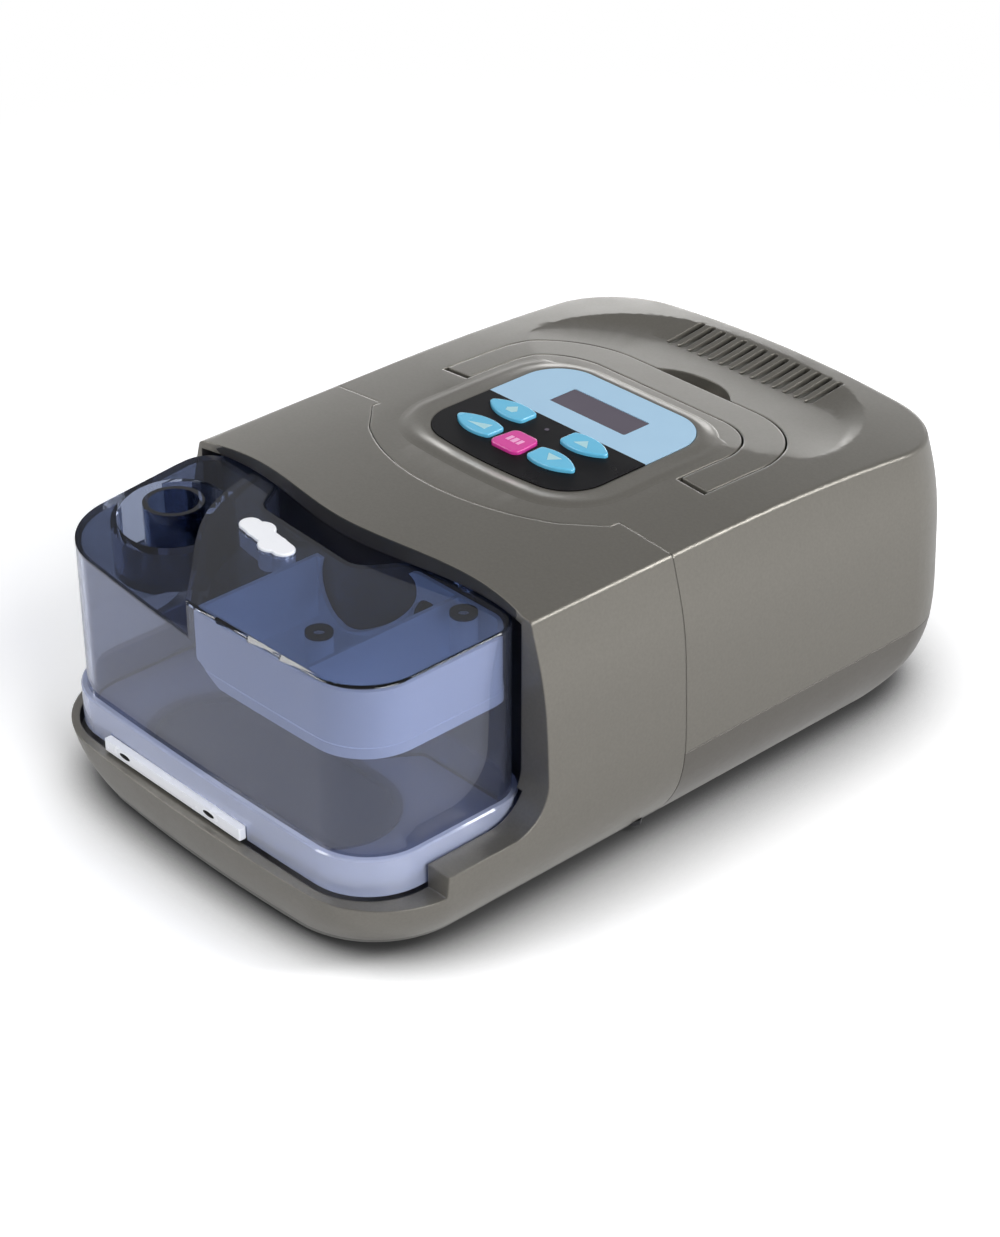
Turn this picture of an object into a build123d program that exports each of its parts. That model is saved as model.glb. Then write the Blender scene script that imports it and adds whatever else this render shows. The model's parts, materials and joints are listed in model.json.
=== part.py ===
from build123d import *
import math
import os

os.makedirs("parts", exist_ok=True)

# Frame: X to the right seen from the front, Y to the back, Z up, feet on Z = 0.
# The water tank is at the front, the blower unit behind it.

# Overall form of the casing
body_width = 197.0
body_depth = 300.0
body_height = 112.0
crown_rise = 4.5
fall_start = 20.0
fall_radius = 1050.0
fall_turn = 12.0
wall = 2.5
half_depth = body_depth / 2

# Side profile: height, bulge beyond the top edge, tuck of the rear wall
side_profile = (
    (2.0, -5.0, 12.5),
    (9.0, 0.2, 6.5),
    (18.0, 4.6, 2.5),
    (36.0, 7.4, 0.0),
    (60.0, 6.6, 0.0),
    (86.0, 3.9, 0.6),
    (118.0, -1.9, 2.2),
)
widest_bulge = 7.4
rim_bulge = 5.6
top_half_width = body_width / 2 - widest_bulge
front_tuck_share = 0.6
front_bow = 5.0
front_taper = 3.0
front_corner = 37.0
rear_bow = 5.0
rear_corner = 34.0
edge_round = 2.2
steep_top = 0.9

# Where the casing comes apart
seam_y = -6.5
seam_gap = 0.3
base_seam_z = 32.0
foot_height = 2.0
plate_top = 5.0
tongue_half_width = 62.0
tongue_reach = 31.6
tongue_nose_half = 49.0
tongue_nose_drop = 15.0
tongue_shoulder = 4.0
tongue_floor = 98.0
tongue_root = 20.0
tongue_round = 12.0

# Tank bay and tray of the humidifier
bay_clearance = 1.6
bay_upper_clearance = 1.2
bay_step = 42.0
bay_rear = -62.0
lip_y = -71.5
lip_bulge = 4.0
lip_under = 105.2
tray_floor = 18.0
rim_top = 24.0
ledge_top = 33.0
ledge_front = -116.0
cheek_curve = 17.0

# Water tank
tank_left = 84.5
tank_right = 81.0
tank_front = -141.5
tank_front_bow = 2.0
tank_corner = 23.0
tank_rear = -66.5
tank_scoop = -84.5
tank_rear_corner = 14.0
scoop_left = -38.0
scoop_left_rear = -47.0
scoop_right = 15.0
scoop_right_rear = 28.0
scoop_slant = 3.0
lobe_round = 6.0
dip_round = 8.0
tank_top = 104.6
tank_bottom = 24.6
tank_wall = 2.2
tank_flange = 2.3
flange_top = 39.0
tank_floor = 2.4
gasket_height = 1.4

# Hose outlet: 22 mm taper of respiratory hoses, taken as a straight tube
outlet_x = -62.0
outlet_y = -102.5
outlet_radius = 11.0
outlet_bore = 9.0
spigot_radius = 10.0
outlet_length = 24.0
step_start_x = -61.0
step_bend_x = -48.5
step_bend_y = -98.0
step_middle_x = -18.5
step_middle_y = -128.5
step_end_x = 3.0
step_over = 18.0
deck_height = 105.4
deck_fall_right = 0.082
deck_fall_front = 0.104
cup_radius = 20.3
cup_floor = tank_top - outlet_length
cover_gap = 0.2
top_round = 1.5

# Filler stopper, release latch and metal floor of the tank
stopper_x = -19.5
stopper_y = -95.0
stopper_length = 30.0
stopper_width = 8.0
stopper_lobe = 5.2
stopper_turn = 8.0
stopper_depth = 9.0
stopper_proud = 0.8
stopper_round = 0.5
latch_x = -14.0
latch_length = 76.0
latch_low = 25.2
latch_height = 4.6
latch_thick = 3.0
latch_travel = 0.8
latch_clearance = 0.5
notch_depth = 1.5
heat_margin = 2.0
heat_rim = 2.5
heat_sheet = 1.0

# Sprung heater plate in the tray, and the rails beside it
heater_length = 104.0
heater_width = 40.0
heater_y = -112.0
heater_thick = 3.6
heater_gap = 0.4
heater_travel = 1.0
spring_spots = ((0, -98), (-38, -112), (38, -112))
spring_radius = 3.0
spring_wire = 0.8
spring_clearance = 0.4
spring_pocket = 4.0
rail_x = 70.0
rail_width = 6.0
rail_front = -124.0
rail_top = 24.3

# Air guide inside the tank, with two posts under black rings
guide_floor = 76.0
guide_top = 101.0
guide_wall = 1.6
guide_left = -3.0
guide_gap = 0.8
guide_band = 4.0
slant_width = 14.0
post_spots = ((38, -120), (61, -77.5))
post_radius = 4.7
post_bore = 2.1
ring_height = 1.2
partition_x = 50.0
scoop_x = 15.0
scoop_radius = 15.5
scoop_drop = 7.0

# Carry handle, lying in its channel round the display panel
handle_half_width = 67.0
handle_side = 12.0
handle_rear = 95.0
handle_rear_width = 16.5
handle_end = 32.0
handle_corner = 36.0
handle_bottom = 102.0
handle_gap = 0.8
handle_end_gap = 2.4
channel_floor = 98.6
pivot_y = 38.0
pivot_z = 105.4
pin_radius = 2.0
pin_clearance = 0.05
finger_half_width = 20.5
finger_depth = 9.5
handle_end_round = 3.0
rest_pad_x = 30.0
rest_pad_size = 8.0
rest_gap = 0.1

# Display and key panel
panel_half_width = 40.3
panel_front = -11.5
panel_rear = 64.8
panel_corner = 17.0
panel_bow = 4.0
panel_top = 111.2
overlay_thick = 0.6
fascia_thick = 2.4
panel_gap = 0.25
moat_depth = 2.0
moat_slope = 76.0
seat_ledge = 4.0
panel_split = 28.5
window_width = 39.0
window_depth = 13.5
window_y = 45.5
key_x = -2.6
key_spacing = 20.3
key_row_low = 5.7
key_row_high = 22.1
key_length = 21.0
key_width = 10.4
key_travel = 0.8
key_proud = 1.4
key_gap = 0.3
key_blunt_share = 0.75
key_corner = 1.6
key_round = 0.7
key_flange = 1.0
key_flange_high = 1.2
key_flange_gap = 0.4
centre_key_width = 15.0
centre_key_depth = 13.2
centre_key_slant = 84.0
centre_key_corner = 3.0
window_corner = 0.8
window_gap = 0.2
window_thick = 1.4
window_sunk = 0.2
panel_posts = ((-30, -1), (30, -1), (-30, 55.5), (30, 55.5))
panel_post_radius = 2.0
board_top = 102.4
board_clearance = 1.0
display_margin = 4.0
display_gap = 0.6
mat_thick = 1.0
mat_margin = 2.0
dome_inset = 1.5
dome_gap = 0.5

# Rear pocket of the top and its vents
pocket_half_width = 72.0
pocket_rear = 124.0
pocket_front = 46.0
pocket_corner = 42.0
pocket_fall = 10.6
pocket_slope_degrees = 70.0
vent_count = 14
vent_pitch = 5.5
vent_width = 3.0
vent_length = 19.0
vent_y = 129.5
vent_lean = -6.0
vent_depth = 8.0

# Blower and air path
duct_x = 37.0
duct_z = 84.0
duct_radius = 11.0
duct_bore = 8.5
blower_x = 20.0
blower_y = 72.0
blower_bottom = 50.0
blower_radius = 41.0
blower_height = 32.0
blower_wall = 2.0
blower_duct_radius = 10.0
blower_duct_inset = 3.0
blower_eye = 15.0
eye_collar = 4.0
blower_foot_radius = 4.0
mount_height = 6.0
mount_radius = 5.5
seal_gap = 0.3
muffler_x = 43.0
muffler_depth = 27.0
muffler_width = 60.0
muffler_bottom = 50.0
muffler_top = 98.0
muffler_wall = 1.6
foam_depth = 18.0
impeller_radius = 34.0
impeller_height = 12.0
wheel_gap = 3.0
wheel_disc = 2.0
hub_radius = 6.0
hub_height = 10.0
blade_count = 11
blade_thick = 1.6
blade_sweep = 44.0
shaft_radius = 1.5
motor_radius = 20.0
motor_height = 22.0

# Rear services: filter, power inlet, switch and memory card
service_y = 141.0
service_margin = 12.0
filter_x = 38.0
filter_z = 55.0
filter_width = 52.0
filter_height = 40.0
filter_thick = 2.6
filter_gap = 0.4
filter_corner = 3.0
filter_cover_thick = 3.0
grille_pitch = 7.0
grille_count = 6
grille_slot = 4.0
grille_margin = 4.0
louvre_pitch = 5.0
louvre_count = 6
louvre_width = 2.4
louvre_margin = 7.0
inlet_x = -52.0
inlet_z = 50.0
inlet_radius = 6.0
inlet_bore = 4.0
inlet_pin = 1.0
inlet_body = 16.0
inlet_socket = 8.0
inlet_proud = 2.0
switch_x = -34.0
switch_width = 10.0
switch_height = 15.0
switch_wall = 1.2
switch_depth = 14.0
switch_bezel = 1.0
rocker_clearance = 0.7
rocker_depth = 6.0
rocker_proud = 1.8
rocker_root = 2.0
card_x = -15.0
card_width = 24.0
card_thick = 2.1
card_length = 32.0
card_out = 2.2
card_clearance = 0.4
card_corner = 4.0
socket_wall = 1.6

# Boards, feet, screws and fits
board_thick = 1.6
board_z = 14.0
board_low = (-84, 14, board_z)
board_high = (-24, 98)
board_post_spots = ((-78, 20), (-30, 20), (-78, 92), (-30, 92))
board_post_radius = 3.0
foot_radius = 6.0
main_foot_spots = ((70, 18), (-70, 18), (60, 112), (-60, 112))
front_foot_spots = ((66, -36), (-66, -36), (40, -122), (-40, -122))
boss_radius = 5.0
boss_height = 24.0
screw_spots = ((78, 0), (-78, 0), (74, 124), (-74, 124))
screw_head_radius = 2.8
screw_head_height = 2.4
screw_radius = 1.5
screw_seat_z = 12.0
screw_length = 30.0
screw_hole_depth = 16.0
front_screw_spots = ((84, -18), (-84, -18), (60, -122), (-60, -122))
front_seat_z = 4.0
front_head_height = 1.8
front_screw_length = 8.0
front_screw_depth = 9.0
running_clearance = 0.3
head_clearance = 0.4
small_chamfer = 0.6
cut_over = 1.0


def body_section(level, bulge, tuck, inset):
    """One level outline of the casing."""
    half = top_half_width + bulge - inset
    nose = half - front_taper
    front = -half_depth + front_tuck_share * (rim_bulge - bulge) + inset
    rear = half_depth - tuck - inset
    with BuildSketch(Plane.XY.offset(level)) as section:
        with BuildLine():
            ThreePointArc((-nose, front + front_bow), (0, front), (nose, front + front_bow))
            Line((nose, front + front_bow), (half, rear - rear_bow))
            ThreePointArc((half, rear - rear_bow), (0, rear), (-half, rear - rear_bow))
            Line((-half, rear - rear_bow), (-nose, front + front_bow))
        make_face()
        corners = section.vertices().sort_by(Axis.Y)
        fillet(corners[:2], front_corner - inset)
        fillet(section.vertices().sort_by(Axis.Y)[-2:], rear_corner - inset)
    return section.sketch


def crown_profile(drop):
    """The area under the crowned top, seen from the front."""
    reach = 2 * top_half_width
    edge = body_height - drop - 4 * crown_rise
    with BuildSketch(Plane.XZ) as profile:
        with BuildLine():
            ThreePointArc((-reach, edge), (0, body_height - drop), (reach, edge))
            Polyline((reach, edge), (reach, -body_height), (-reach, -body_height), (-reach, edge))
        make_face()
    return profile.sketch


def crown_room(drop):
    """The room under the top: level at the front, then falling in a wide arc to the rear."""
    profile = crown_profile(drop).moved(Location((0, fall_start, 0)))
    hinge = Axis((0, fall_start, body_height - fall_radius), (-1, 0, 0))
    with BuildPart() as room:
        extrude(profile, amount=body_depth)
        revolve(profile, axis=hinge, revolution_arc=fall_turn)
    return room.part


def tongue_outline(grow):
    """Front edge of the blower unit's top, bulging round the panel."""
    nose = tongue_nose_half + grow
    shoulder = tongue_half_width + grow
    tip = seam_y - tongue_reach - grow
    nose_y = tip + tongue_nose_drop
    shoulder_y = seam_y - tongue_shoulder
    with BuildSketch() as tongue:
        with BuildLine():
            ThreePointArc((-nose, nose_y), (0, tip), (nose, nose_y))
            Polyline(
                (nose, nose_y),
                (shoulder, shoulder_y),
                (shoulder, seam_y + tongue_root),
                (-shoulder, seam_y + tongue_root),
                (-shoulder, shoulder_y),
                (-nose, nose_y),
            )
        make_face()
        fillet([v for v in tongue.vertices() if abs(v.Y - nose_y) < cut_over / 10], tongue_round)
    return tongue.sketch


def handle_outline(grow, end):
    """The U of the handle, grown on all sides, from its end to the rear."""
    outer = handle_half_width + grow
    inner = handle_half_width - handle_side - grow
    rear = handle_rear + grow
    inner_rear = handle_rear - handle_rear_width - grow
    with BuildSketch() as loop:
        with Locations((0, (rear + end) / 2)):
            Rectangle(2 * outer, rear - end)
        fillet(loop.vertices().sort_by(Axis.Y)[-2:], handle_corner + grow)
        with BuildSketch(mode=Mode.SUBTRACT) as gap:
            with Locations((0, (inner_rear + end - handle_end) / 2)):
                Rectangle(2 * inner, inner_rear - end + handle_end)
            fillet(gap.vertices().sort_by(Axis.Y)[-2:], handle_corner - handle_side - grow)
    return loop.sketch


def finger_outline(grow):
    """Lens-shaped hollow behind the handle, for a fingertip."""
    with BuildSketch() as lens:
        with BuildLine():
            half = finger_half_width + grow
            start = handle_rear - cut_over
            ThreePointArc((-half, start), (0, handle_rear + finger_depth + grow), (half, start))
            Line((half, start), (-half, start))
        make_face()
    return lens.sketch


def panel_outline(grow):
    """Rounded plate with a slightly bowed front edge."""
    half = panel_half_width + grow
    front = panel_front - grow
    rear = panel_rear + grow
    with BuildSketch() as plate:
        with BuildLine():
            ThreePointArc((-half, front + panel_bow), (0, front), (half, front + panel_bow))
            Polyline(
                (half, front + panel_bow), (half, rear), (-half, rear), (-half, front + panel_bow)
            )
        make_face()
        fillet(plate.vertices(), panel_corner + grow)
    return plate.sketch


def pocket_outline(grow):
    """Floor of the shallow pocket at the rear of the top, measured from its front."""
    length = pocket_rear - pocket_front
    with BuildSketch() as floor:
        with Locations((0, 0)):
            Rectangle(2 * (pocket_half_width + grow), 2 * (length + grow))
        fillet(floor.vertices().sort_by(Axis.Y)[-2:], pocket_corner + grow)
    return floor.sketch


def tank_outline(grow):
    """Plan of the water tank: wide front, finger scoop in its rear edge."""
    with BuildSketch() as plan:
        with BuildLine():
            ThreePointArc(
                (-tank_left, tank_front + tank_front_bow),
                (0, tank_front),
                (tank_right, tank_front + tank_front_bow),
            )
            Polyline(
                (tank_right, tank_front + tank_front_bow),
                (tank_right, tank_rear),
                (scoop_right_rear, tank_rear),
                (scoop_right, tank_scoop),
                (scoop_left, tank_scoop + scoop_slant),
                (scoop_left_rear, tank_rear),
                (-tank_left, tank_rear),
                (-tank_left, tank_front + tank_front_bow),
            )
        make_face()
        order = plan.vertices().sort_by(Axis.Y)
        fillet(order[:2], tank_corner)
        lobe_line = tank_right - tank_corner
        outer = [v for v in plan.vertices() if v.Y > tank_rear - 1 and abs(v.X) > lobe_line]
        fillet(outer, tank_rear_corner)
        lobes = [v for v in plan.vertices() if v.Y > tank_rear - 1 and abs(v.X) < lobe_line]
        fillet(lobes, lobe_round)
        dips = [v for v in plan.vertices() if abs(v.X) < lobe_line and tank_scoop - 1 < v.Y < tank_rear - 8]
        fillet(dips, dip_round)
        if grow:
            offset(amount=grow, kind=Kind.ARC)
    return plan.sketch


def swoosh_region(grow):
    """Plan left of the curved step that crosses the tank's top."""
    with BuildSketch() as area:
        with BuildLine():
            edge = -tank_left - cup_radius
            step_front = tank_front - step_over / 3
            curve = Spline(
                (step_start_x + grow, tank_rear + step_over),
                (step_bend_x + grow, step_bend_y),
                (step_middle_x + grow, step_middle_y),
                (step_end_x + grow, step_front),
                tangents=((0, -1), (1, -0.75)),
            )
            Polyline(curve @ 1, (edge, step_front), (edge, tank_rear + step_over), curve @ 0)
        make_face()
    return area.sketch


def stopper_outline(grow):
    """Wavy plan of the filler stopper."""
    with BuildSketch(Plane.XY) as wave:
        SlotOverall(stopper_length + 2 * grow, stopper_width + 2 * grow, rotation=-stopper_turn)
        with Locations((-stopper_lobe, stopper_lobe / 3), (stopper_lobe, -stopper_lobe / 3)):
            Circle(stopper_lobe + grow)
    return wave.sketch


def key_outline(side, grow):
    """Leaf-shaped key, its tip towards side (-1 left, 1 right)."""
    length = key_length / 2
    half = key_width / 2
    with BuildSketch() as leaf:
        with BuildLine():
            blunt = half * key_blunt_share
            ThreePointArc((-length * side, -blunt), (0, -half), (length * side, 0))
            ThreePointArc((length * side, 0), (0, half), (-length * side, blunt))
            Line((-length * side, blunt), (-length * side, -blunt))
        make_face()
        fillet(leaf.vertices(), key_corner)
        if grow:
            offset(amount=grow, kind=Kind.ARC)
    return leaf.sketch


def centre_key_outline(grow):
    """Rounded key in the middle, a little wider at the front."""
    with BuildSketch() as pad:
        Trapezoid(centre_key_width, centre_key_depth, centre_key_slant)
        fillet(pad.vertices(), centre_key_corner)
        if grow:
            offset(amount=grow, kind=Kind.ARC)
    return pad.sketch


def add_prism(outline, bottom, top, where=(0, 0), mode=Mode.ADD):
    """Stands an outline up between two heights in the open part."""
    placed = outline.moved(Location((where[0], where[1], bottom)))
    extrude(placed, amount=top - bottom, mode=mode)


def write(piece, name):
    piece.part.label = name
    export_step(piece.part, f"parts/{name}.step")


# Keys: name, outline maker, place
keys = (
    ("key_upper_left", lambda grow: key_outline(-1, grow), (key_x - key_spacing, key_row_high)),
    ("key_lower_left", lambda grow: key_outline(-1, grow), (key_x - key_spacing, key_row_low)),
    ("key_centre", centre_key_outline, (key_x, key_row_low)),
    ("key_lower_right", lambda grow: key_outline(1, grow), (key_x + key_spacing, key_row_low)),
    ("key_upper_right", lambda grow: key_outline(1, grow), (key_x + key_spacing, key_row_high)),
)

# Whole outer form of the casing, with its crowned top and rounded top edge
with BuildPart() as outer_form:
    loft([body_section(*level, inset=0) for level in side_profile])
    add(crown_room(0), mode=Mode.INTERSECT)
    crown_faces = [face for face in outer_form.faces() if face.normal_at().Z > steep_top]
    crown_edges = [edge for face in crown_faces for edge in face.edges()]
    fillet([edge for edge in crown_edges if abs(edge.center().Y - fall_start) > cut_over], edge_round)

# The same form one wall further in
with BuildPart() as inner_form:
    loft([body_section(*level, inset=wall) for level in side_profile])
    add(crown_room(wall), mode=Mode.INTERSECT)


def add_block(low, high, mode=Mode.ADD):
    """A box between two opposite corners."""
    size = [b - a for a, b in zip(low, high)]
    middle = [(a + b) / 2 for a, b in zip(low, high)]
    with Locations(tuple(middle)):
        Box(*size, mode=mode)


def add_rod(start, length, radius, along, mode=Mode.ADD):
    """A round rod from a point, along X, Y or Z."""
    plane = Plane(origin=start, z_dir=along)
    with BuildSketch(plane) as disc:
        Circle(radius)
    extrude(disc.sketch, amount=length, mode=mode)


def add_ring(start, length, radius, bore, along):
    """A round tube from a point, along X, Y or Z."""
    plane = Plane(origin=start, z_dir=along)
    with BuildSketch(plane) as ring:
        Circle(radius)
        Circle(bore, mode=Mode.SUBTRACT)
    extrude(ring.sketch, amount=length)


along_x = (1, 0, 0)
along_y = (0, 1, 0)
along_z = (0, 0, 1)
above_all = body_height + 20
far = body_depth
rear_start = seam_y + seam_gap / 2
front_end = seam_y - seam_gap / 2

# Shallow pocket in the rear of the top, falling gently to the back
pocket_length = pocket_rear - pocket_front
pocket_tilt = pocket_fall / pocket_length


def pocket_form(grow):
    with BuildPart() as pocket:
        floor_start = (0, pocket_front, body_height - grow)
        floor_plane = Plane(origin=floor_start, x_dir=along_x, z_dir=(0, pocket_tilt, 1))
        extrude(floor_plane * pocket_outline(grow), amount=2 * pocket_fall + grow, taper=-pocket_slope_degrees)
    return pocket.part


with BuildPart() as top_form:
    add(outer_form.part)
    add(pocket_form(0), mode=Mode.SUBTRACT)

# Region of the blower unit: behind the seam, with a tongue under the panel
with BuildPart() as rear_region:
    add_block((-far, rear_start, 0), (far, far, above_all))
    add_prism(tongue_outline(-seam_gap / 2), tongue_floor, above_all)

# Recess of the panel: a sloping moat, a seat for the fascia and an opening below it
moat_floor = panel_top - moat_depth
fascia_bottom = panel_top - overlay_thick - fascia_thick
channel_end = handle_end - handle_end_gap


def panel_recess(grow):
    with BuildPart() as recess:
        placed = panel_outline(panel_gap).moved(Location((0, 0, moat_floor)))
        extrude(placed, amount=above_all - body_height, taper=-moat_slope)
        add_prism(panel_outline(panel_gap + grow), fascia_bottom - grow, above_all)
    return recess.part


def top_features(grow):
    """Handle channel and finger hollow, grown by a wall for their trough."""
    with BuildPart() as features:
        add_prism(handle_outline(handle_gap + grow, channel_end - grow), channel_floor - grow, above_all)
        add_prism(finger_outline(grow), channel_floor - grow, above_all)
    return features.part


# Flat recesses in the rear wall for the sockets and the filter
service_low = (inlet_x - service_margin, service_y, inlet_z - service_margin)
service_high = (card_x + card_width / 2 + service_margin / 2, far, inlet_z + service_margin)
filter_low = (filter_x - filter_width / 2, service_y, filter_z - filter_height / 2)
filter_high = (filter_x + filter_width / 2, far, filter_z + filter_height / 2)


def grown(corner, amount):
    return tuple(value + amount for value in corner)


with BuildPart() as rear_room:
    add_block((-far, rear_start + wall, 0), (far, far, above_all))
    add_prism(tongue_outline(-seam_gap / 2 - wall), tongue_floor + wall, above_all)

with BuildPart() as main_cavity:
    add(inner_form.part)
    add(rear_room.part, mode=Mode.INTERSECT)
    add(pocket_form(wall), mode=Mode.SUBTRACT)
    add(panel_recess(wall), mode=Mode.SUBTRACT)
    add(top_features(wall), mode=Mode.SUBTRACT)
    add_block(grown(service_low, -wall), grown(service_high, wall), mode=Mode.SUBTRACT)
    add_block(grown(filter_low, -wall), grown(filter_high, wall), mode=Mode.SUBTRACT)

# Bosses that the case screws reach into, each on a rib of the side wall
with BuildPart() as cover_bosses:
    for x, y in screw_spots:
        rib_end = math.copysign(far, x)
        rib_low = (min(x, rib_end), y - wall / 2, base_seam_z)
        rib_high = (max(x, rib_end), y + wall / 2, base_seam_z + boss_height)
        add_block(rib_low, rib_high)
        add_rod((x, y, base_seam_z), boss_height, boss_radius, along_z)
    add(outer_form.part, mode=Mode.INTERSECT)

# Bosses of the screws and posts of the circuit board, on the base
with BuildPart() as base_bosses:
    for x, y in screw_spots:
        add_rod((x, y, foot_height), base_seam_z - foot_height, boss_radius, along_z)
    for x, y in board_post_spots:
        add_rod((x, y, foot_height), board_z - foot_height, board_post_radius, along_z)
    add(outer_form.part, mode=Mode.INTERSECT)

with BuildPart() as base_room:
    add(inner_form.part)
    add_block((-far, rear_start + wall, plate_top), (far, far, base_seam_z + cut_over), mode=Mode.INTERSECT)

# Two low pads in the channel, just under the handle
with BuildPart() as rest_pads:
    for x in (-rest_pad_x, rest_pad_x):
        pad_y = handle_rear - handle_rear_width / 2
        pad_half = rest_pad_size / 2
        pad_low = (x - pad_half, pad_y - pad_half, channel_floor - cut_over)
        add_block(pad_low, (x + pad_half, pad_y + pad_half, handle_bottom - rest_gap))

with BuildPart() as main_cover:
    add(top_form.part)
    add(rear_region.part, mode=Mode.INTERSECT)
    add_block((-far, -far, -far), (far, far, base_seam_z), mode=Mode.SUBTRACT)
    add(main_cavity.part, mode=Mode.SUBTRACT)
    add(panel_recess(0), mode=Mode.SUBTRACT)
    add_prism(panel_outline(-seat_ledge), fascia_bottom - 2 * wall, above_all, mode=Mode.SUBTRACT)
    add(top_features(0), mode=Mode.SUBTRACT)
    add_block(service_low, service_high, mode=Mode.SUBTRACT)
    add_block(filter_low, filter_high, mode=Mode.SUBTRACT)
    add(cover_bosses.part)
    add(rest_pads.part)
    for x, y in screw_spots:
        add_rod((x, y, base_seam_z), screw_hole_depth, screw_radius + pin_clearance, along_z, mode=Mode.SUBTRACT)
    # Air outlet to the humidifier, handle pins, rear sockets and filter grille
    add_rod((duct_x, rear_start - cut_over, duct_z), wall + 2 * cut_over, duct_bore, along_y, mode=Mode.SUBTRACT)
    pin_start = handle_half_width - handle_side - handle_gap - wall
    pin_end = handle_half_width + handle_gap + wall
    for start in (pin_start, -pin_end):
        pin_bore = pin_radius + pin_clearance
        add_rod((start, pivot_y, pivot_z), pin_end - pin_start, pin_bore, along_x, mode=Mode.SUBTRACT)
    # Slanted air slots in the slope behind the handle
    with BuildSketch(Plane.XY.offset(channel_floor - vent_depth)) as slots:
        with GridLocations(vent_pitch, 1, vent_count, 1):
            with Locations((0, vent_y)):
                SlotOverall(vent_length, vent_width, rotation=90 + vent_lean)
    extrude(slots.sketch, amount=above_all - channel_floor, mode=Mode.SUBTRACT)
    # Openings of the rear wall
    wall_start = service_y - wall - cut_over
    wall_end = service_y + cut_over
    inlet_hole = inlet_radius + pin_clearance
    add_rod((inlet_x, wall_start, inlet_z), wall + 2 * cut_over, inlet_hole, along_y, mode=Mode.SUBTRACT)
    add_block(
        (switch_x - switch_width / 2, wall_start, inlet_z - switch_height / 2),
        (switch_x + switch_width / 2, wall_end, inlet_z + switch_height / 2),
        mode=Mode.SUBTRACT,
    )
    card_hole = card_thick / 2 + card_clearance
    add_block(
        (card_x - card_width / 2 - card_clearance, wall_start, inlet_z - card_hole),
        (card_x + card_width / 2 + card_clearance, wall_end, inlet_z + card_hole),
        mode=Mode.SUBTRACT,
    )
    with BuildSketch(Plane(origin=(filter_x, wall_end, filter_z), z_dir=along_y)) as grille:
        with GridLocations(grille_pitch, 1, grille_count, 1):
            SlotOverall(filter_height - 2 * grille_margin, grille_slot, rotation=90)
    extrude(grille.sketch, amount=wall_start - wall_end, mode=Mode.SUBTRACT)

with BuildPart() as main_base:
    add(outer_form.part)
    add_block((-far, rear_start, -far), (far, far, base_seam_z), mode=Mode.INTERSECT)
    add(base_room.part, mode=Mode.SUBTRACT)
    add(base_bosses.part)
    for x, y in screw_spots:
        screw_bore = screw_radius + pin_clearance
        add_rod((x, y, 0), base_seam_z + cut_over, screw_bore, along_z, mode=Mode.SUBTRACT)
        add_rod((x, y, 0), screw_seat_z, screw_head_radius + head_clearance, along_z, mode=Mode.SUBTRACT)


def bay_outline(room, grow):
    """Plan of the tank bay: the tank with room round it, straight to the rear."""
    left = tank_left + room + grow
    right = tank_right + room + grow
    rear = bay_rear + grow
    start = tank_front + tank_corner
    with BuildSketch() as bay:
        add(tank_outline(room + grow))
        with Locations(((right - left) / 2, (start + rear) / 2)):
            Rectangle(left + right, rear - start)
    return bay.sketch


def cheek_cut(grow):
    """Side view of what is open beside and in front of the tank."""
    with BuildSketch(Plane.YZ) as side_view:
        with BuildLine():
            back = lip_y + grow
            ledge = ledge_top - grow
            rim = rim_top - grow
            Line((back, above_all), (back, ledge_top + cheek_curve))
            ThreePointArc(
                (back, ledge_top + cheek_curve),
                (back - cheek_curve * 0.293, ledge + cheek_curve * 0.293),
                (back - cheek_curve, ledge),
            )
            Polyline(
                (back - cheek_curve, ledge),
                (ledge_front + grow, ledge),
                (ledge_front + grow, rim),
                (-far, rim),
                (-far, above_all),
                (back, above_all),
            )
        make_face()
    return side_view.sketch


def bay_space(grow):
    """All the open space of the bay, grown by a wall for its liner."""
    left = -tank_left - bay_upper_clearance - grow
    right = tank_right + bay_upper_clearance + grow
    middle = (left + right) / 2
    swell = 0.8 * lip_bulge
    with BuildPart() as space:
        add_prism(bay_outline(tank_flange + bay_clearance, grow), tray_floor - grow, bay_step + grow)
        add_prism(bay_outline(bay_upper_clearance, grow), tray_floor - grow, lip_under + grow)
        with BuildSketch(Plane.XY.offset(bay_step)) as mouth:
            with BuildLine():
                lip = Spline(
                    (left, lip_y + grow),
                    (left * 0.7, lip_y + swell + grow),
                    (middle, lip_y - lip_bulge + grow),
                    (right * 0.7, lip_y + swell + grow),
                    (right, lip_y + grow),
                )
                Polyline(lip @ 1, (right, -far), (left, -far), lip @ 0)
            make_face()
        extrude(mouth.sketch, amount=above_all)
        front_cut = cheek_cut(grow)
        extrude(front_cut.moved(Location((right - wall, 0, 0))), amount=far)
        extrude(front_cut.moved(Location((left + wall, 0, 0))), amount=-far)
        add_block((-far, -far, rim_top - grow), (far, ledge_front + grow, above_all))
    return space.part


with BuildPart() as front_region:
    add_block((-far, -far, plate_top), (far, front_end, above_all))
    add_prism(tongue_outline(seam_gap / 2), tongue_floor - seam_gap, above_all, mode=Mode.SUBTRACT)

with BuildPart() as front_cavity:
    add(inner_form.part)
    add_block((-far, -far, plate_top), (far, front_end - wall, above_all), mode=Mode.INTERSECT)
    add_prism(tongue_outline(seam_gap / 2 + wall), tongue_floor - seam_gap - wall, above_all, mode=Mode.SUBTRACT)
    add(bay_space(wall), mode=Mode.SUBTRACT)

plate_seat = tank_bottom - heater_gap
pocket_floor = tray_floor - spring_pocket


def plate_outline(grow):
    """Obround plan of the heater plate and of the metal floor above it."""
    with BuildSketch() as plate:
        SlotOverall(heater_length + 2 * grow, heater_width + 2 * grow)
    return plate.sketch


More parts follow.
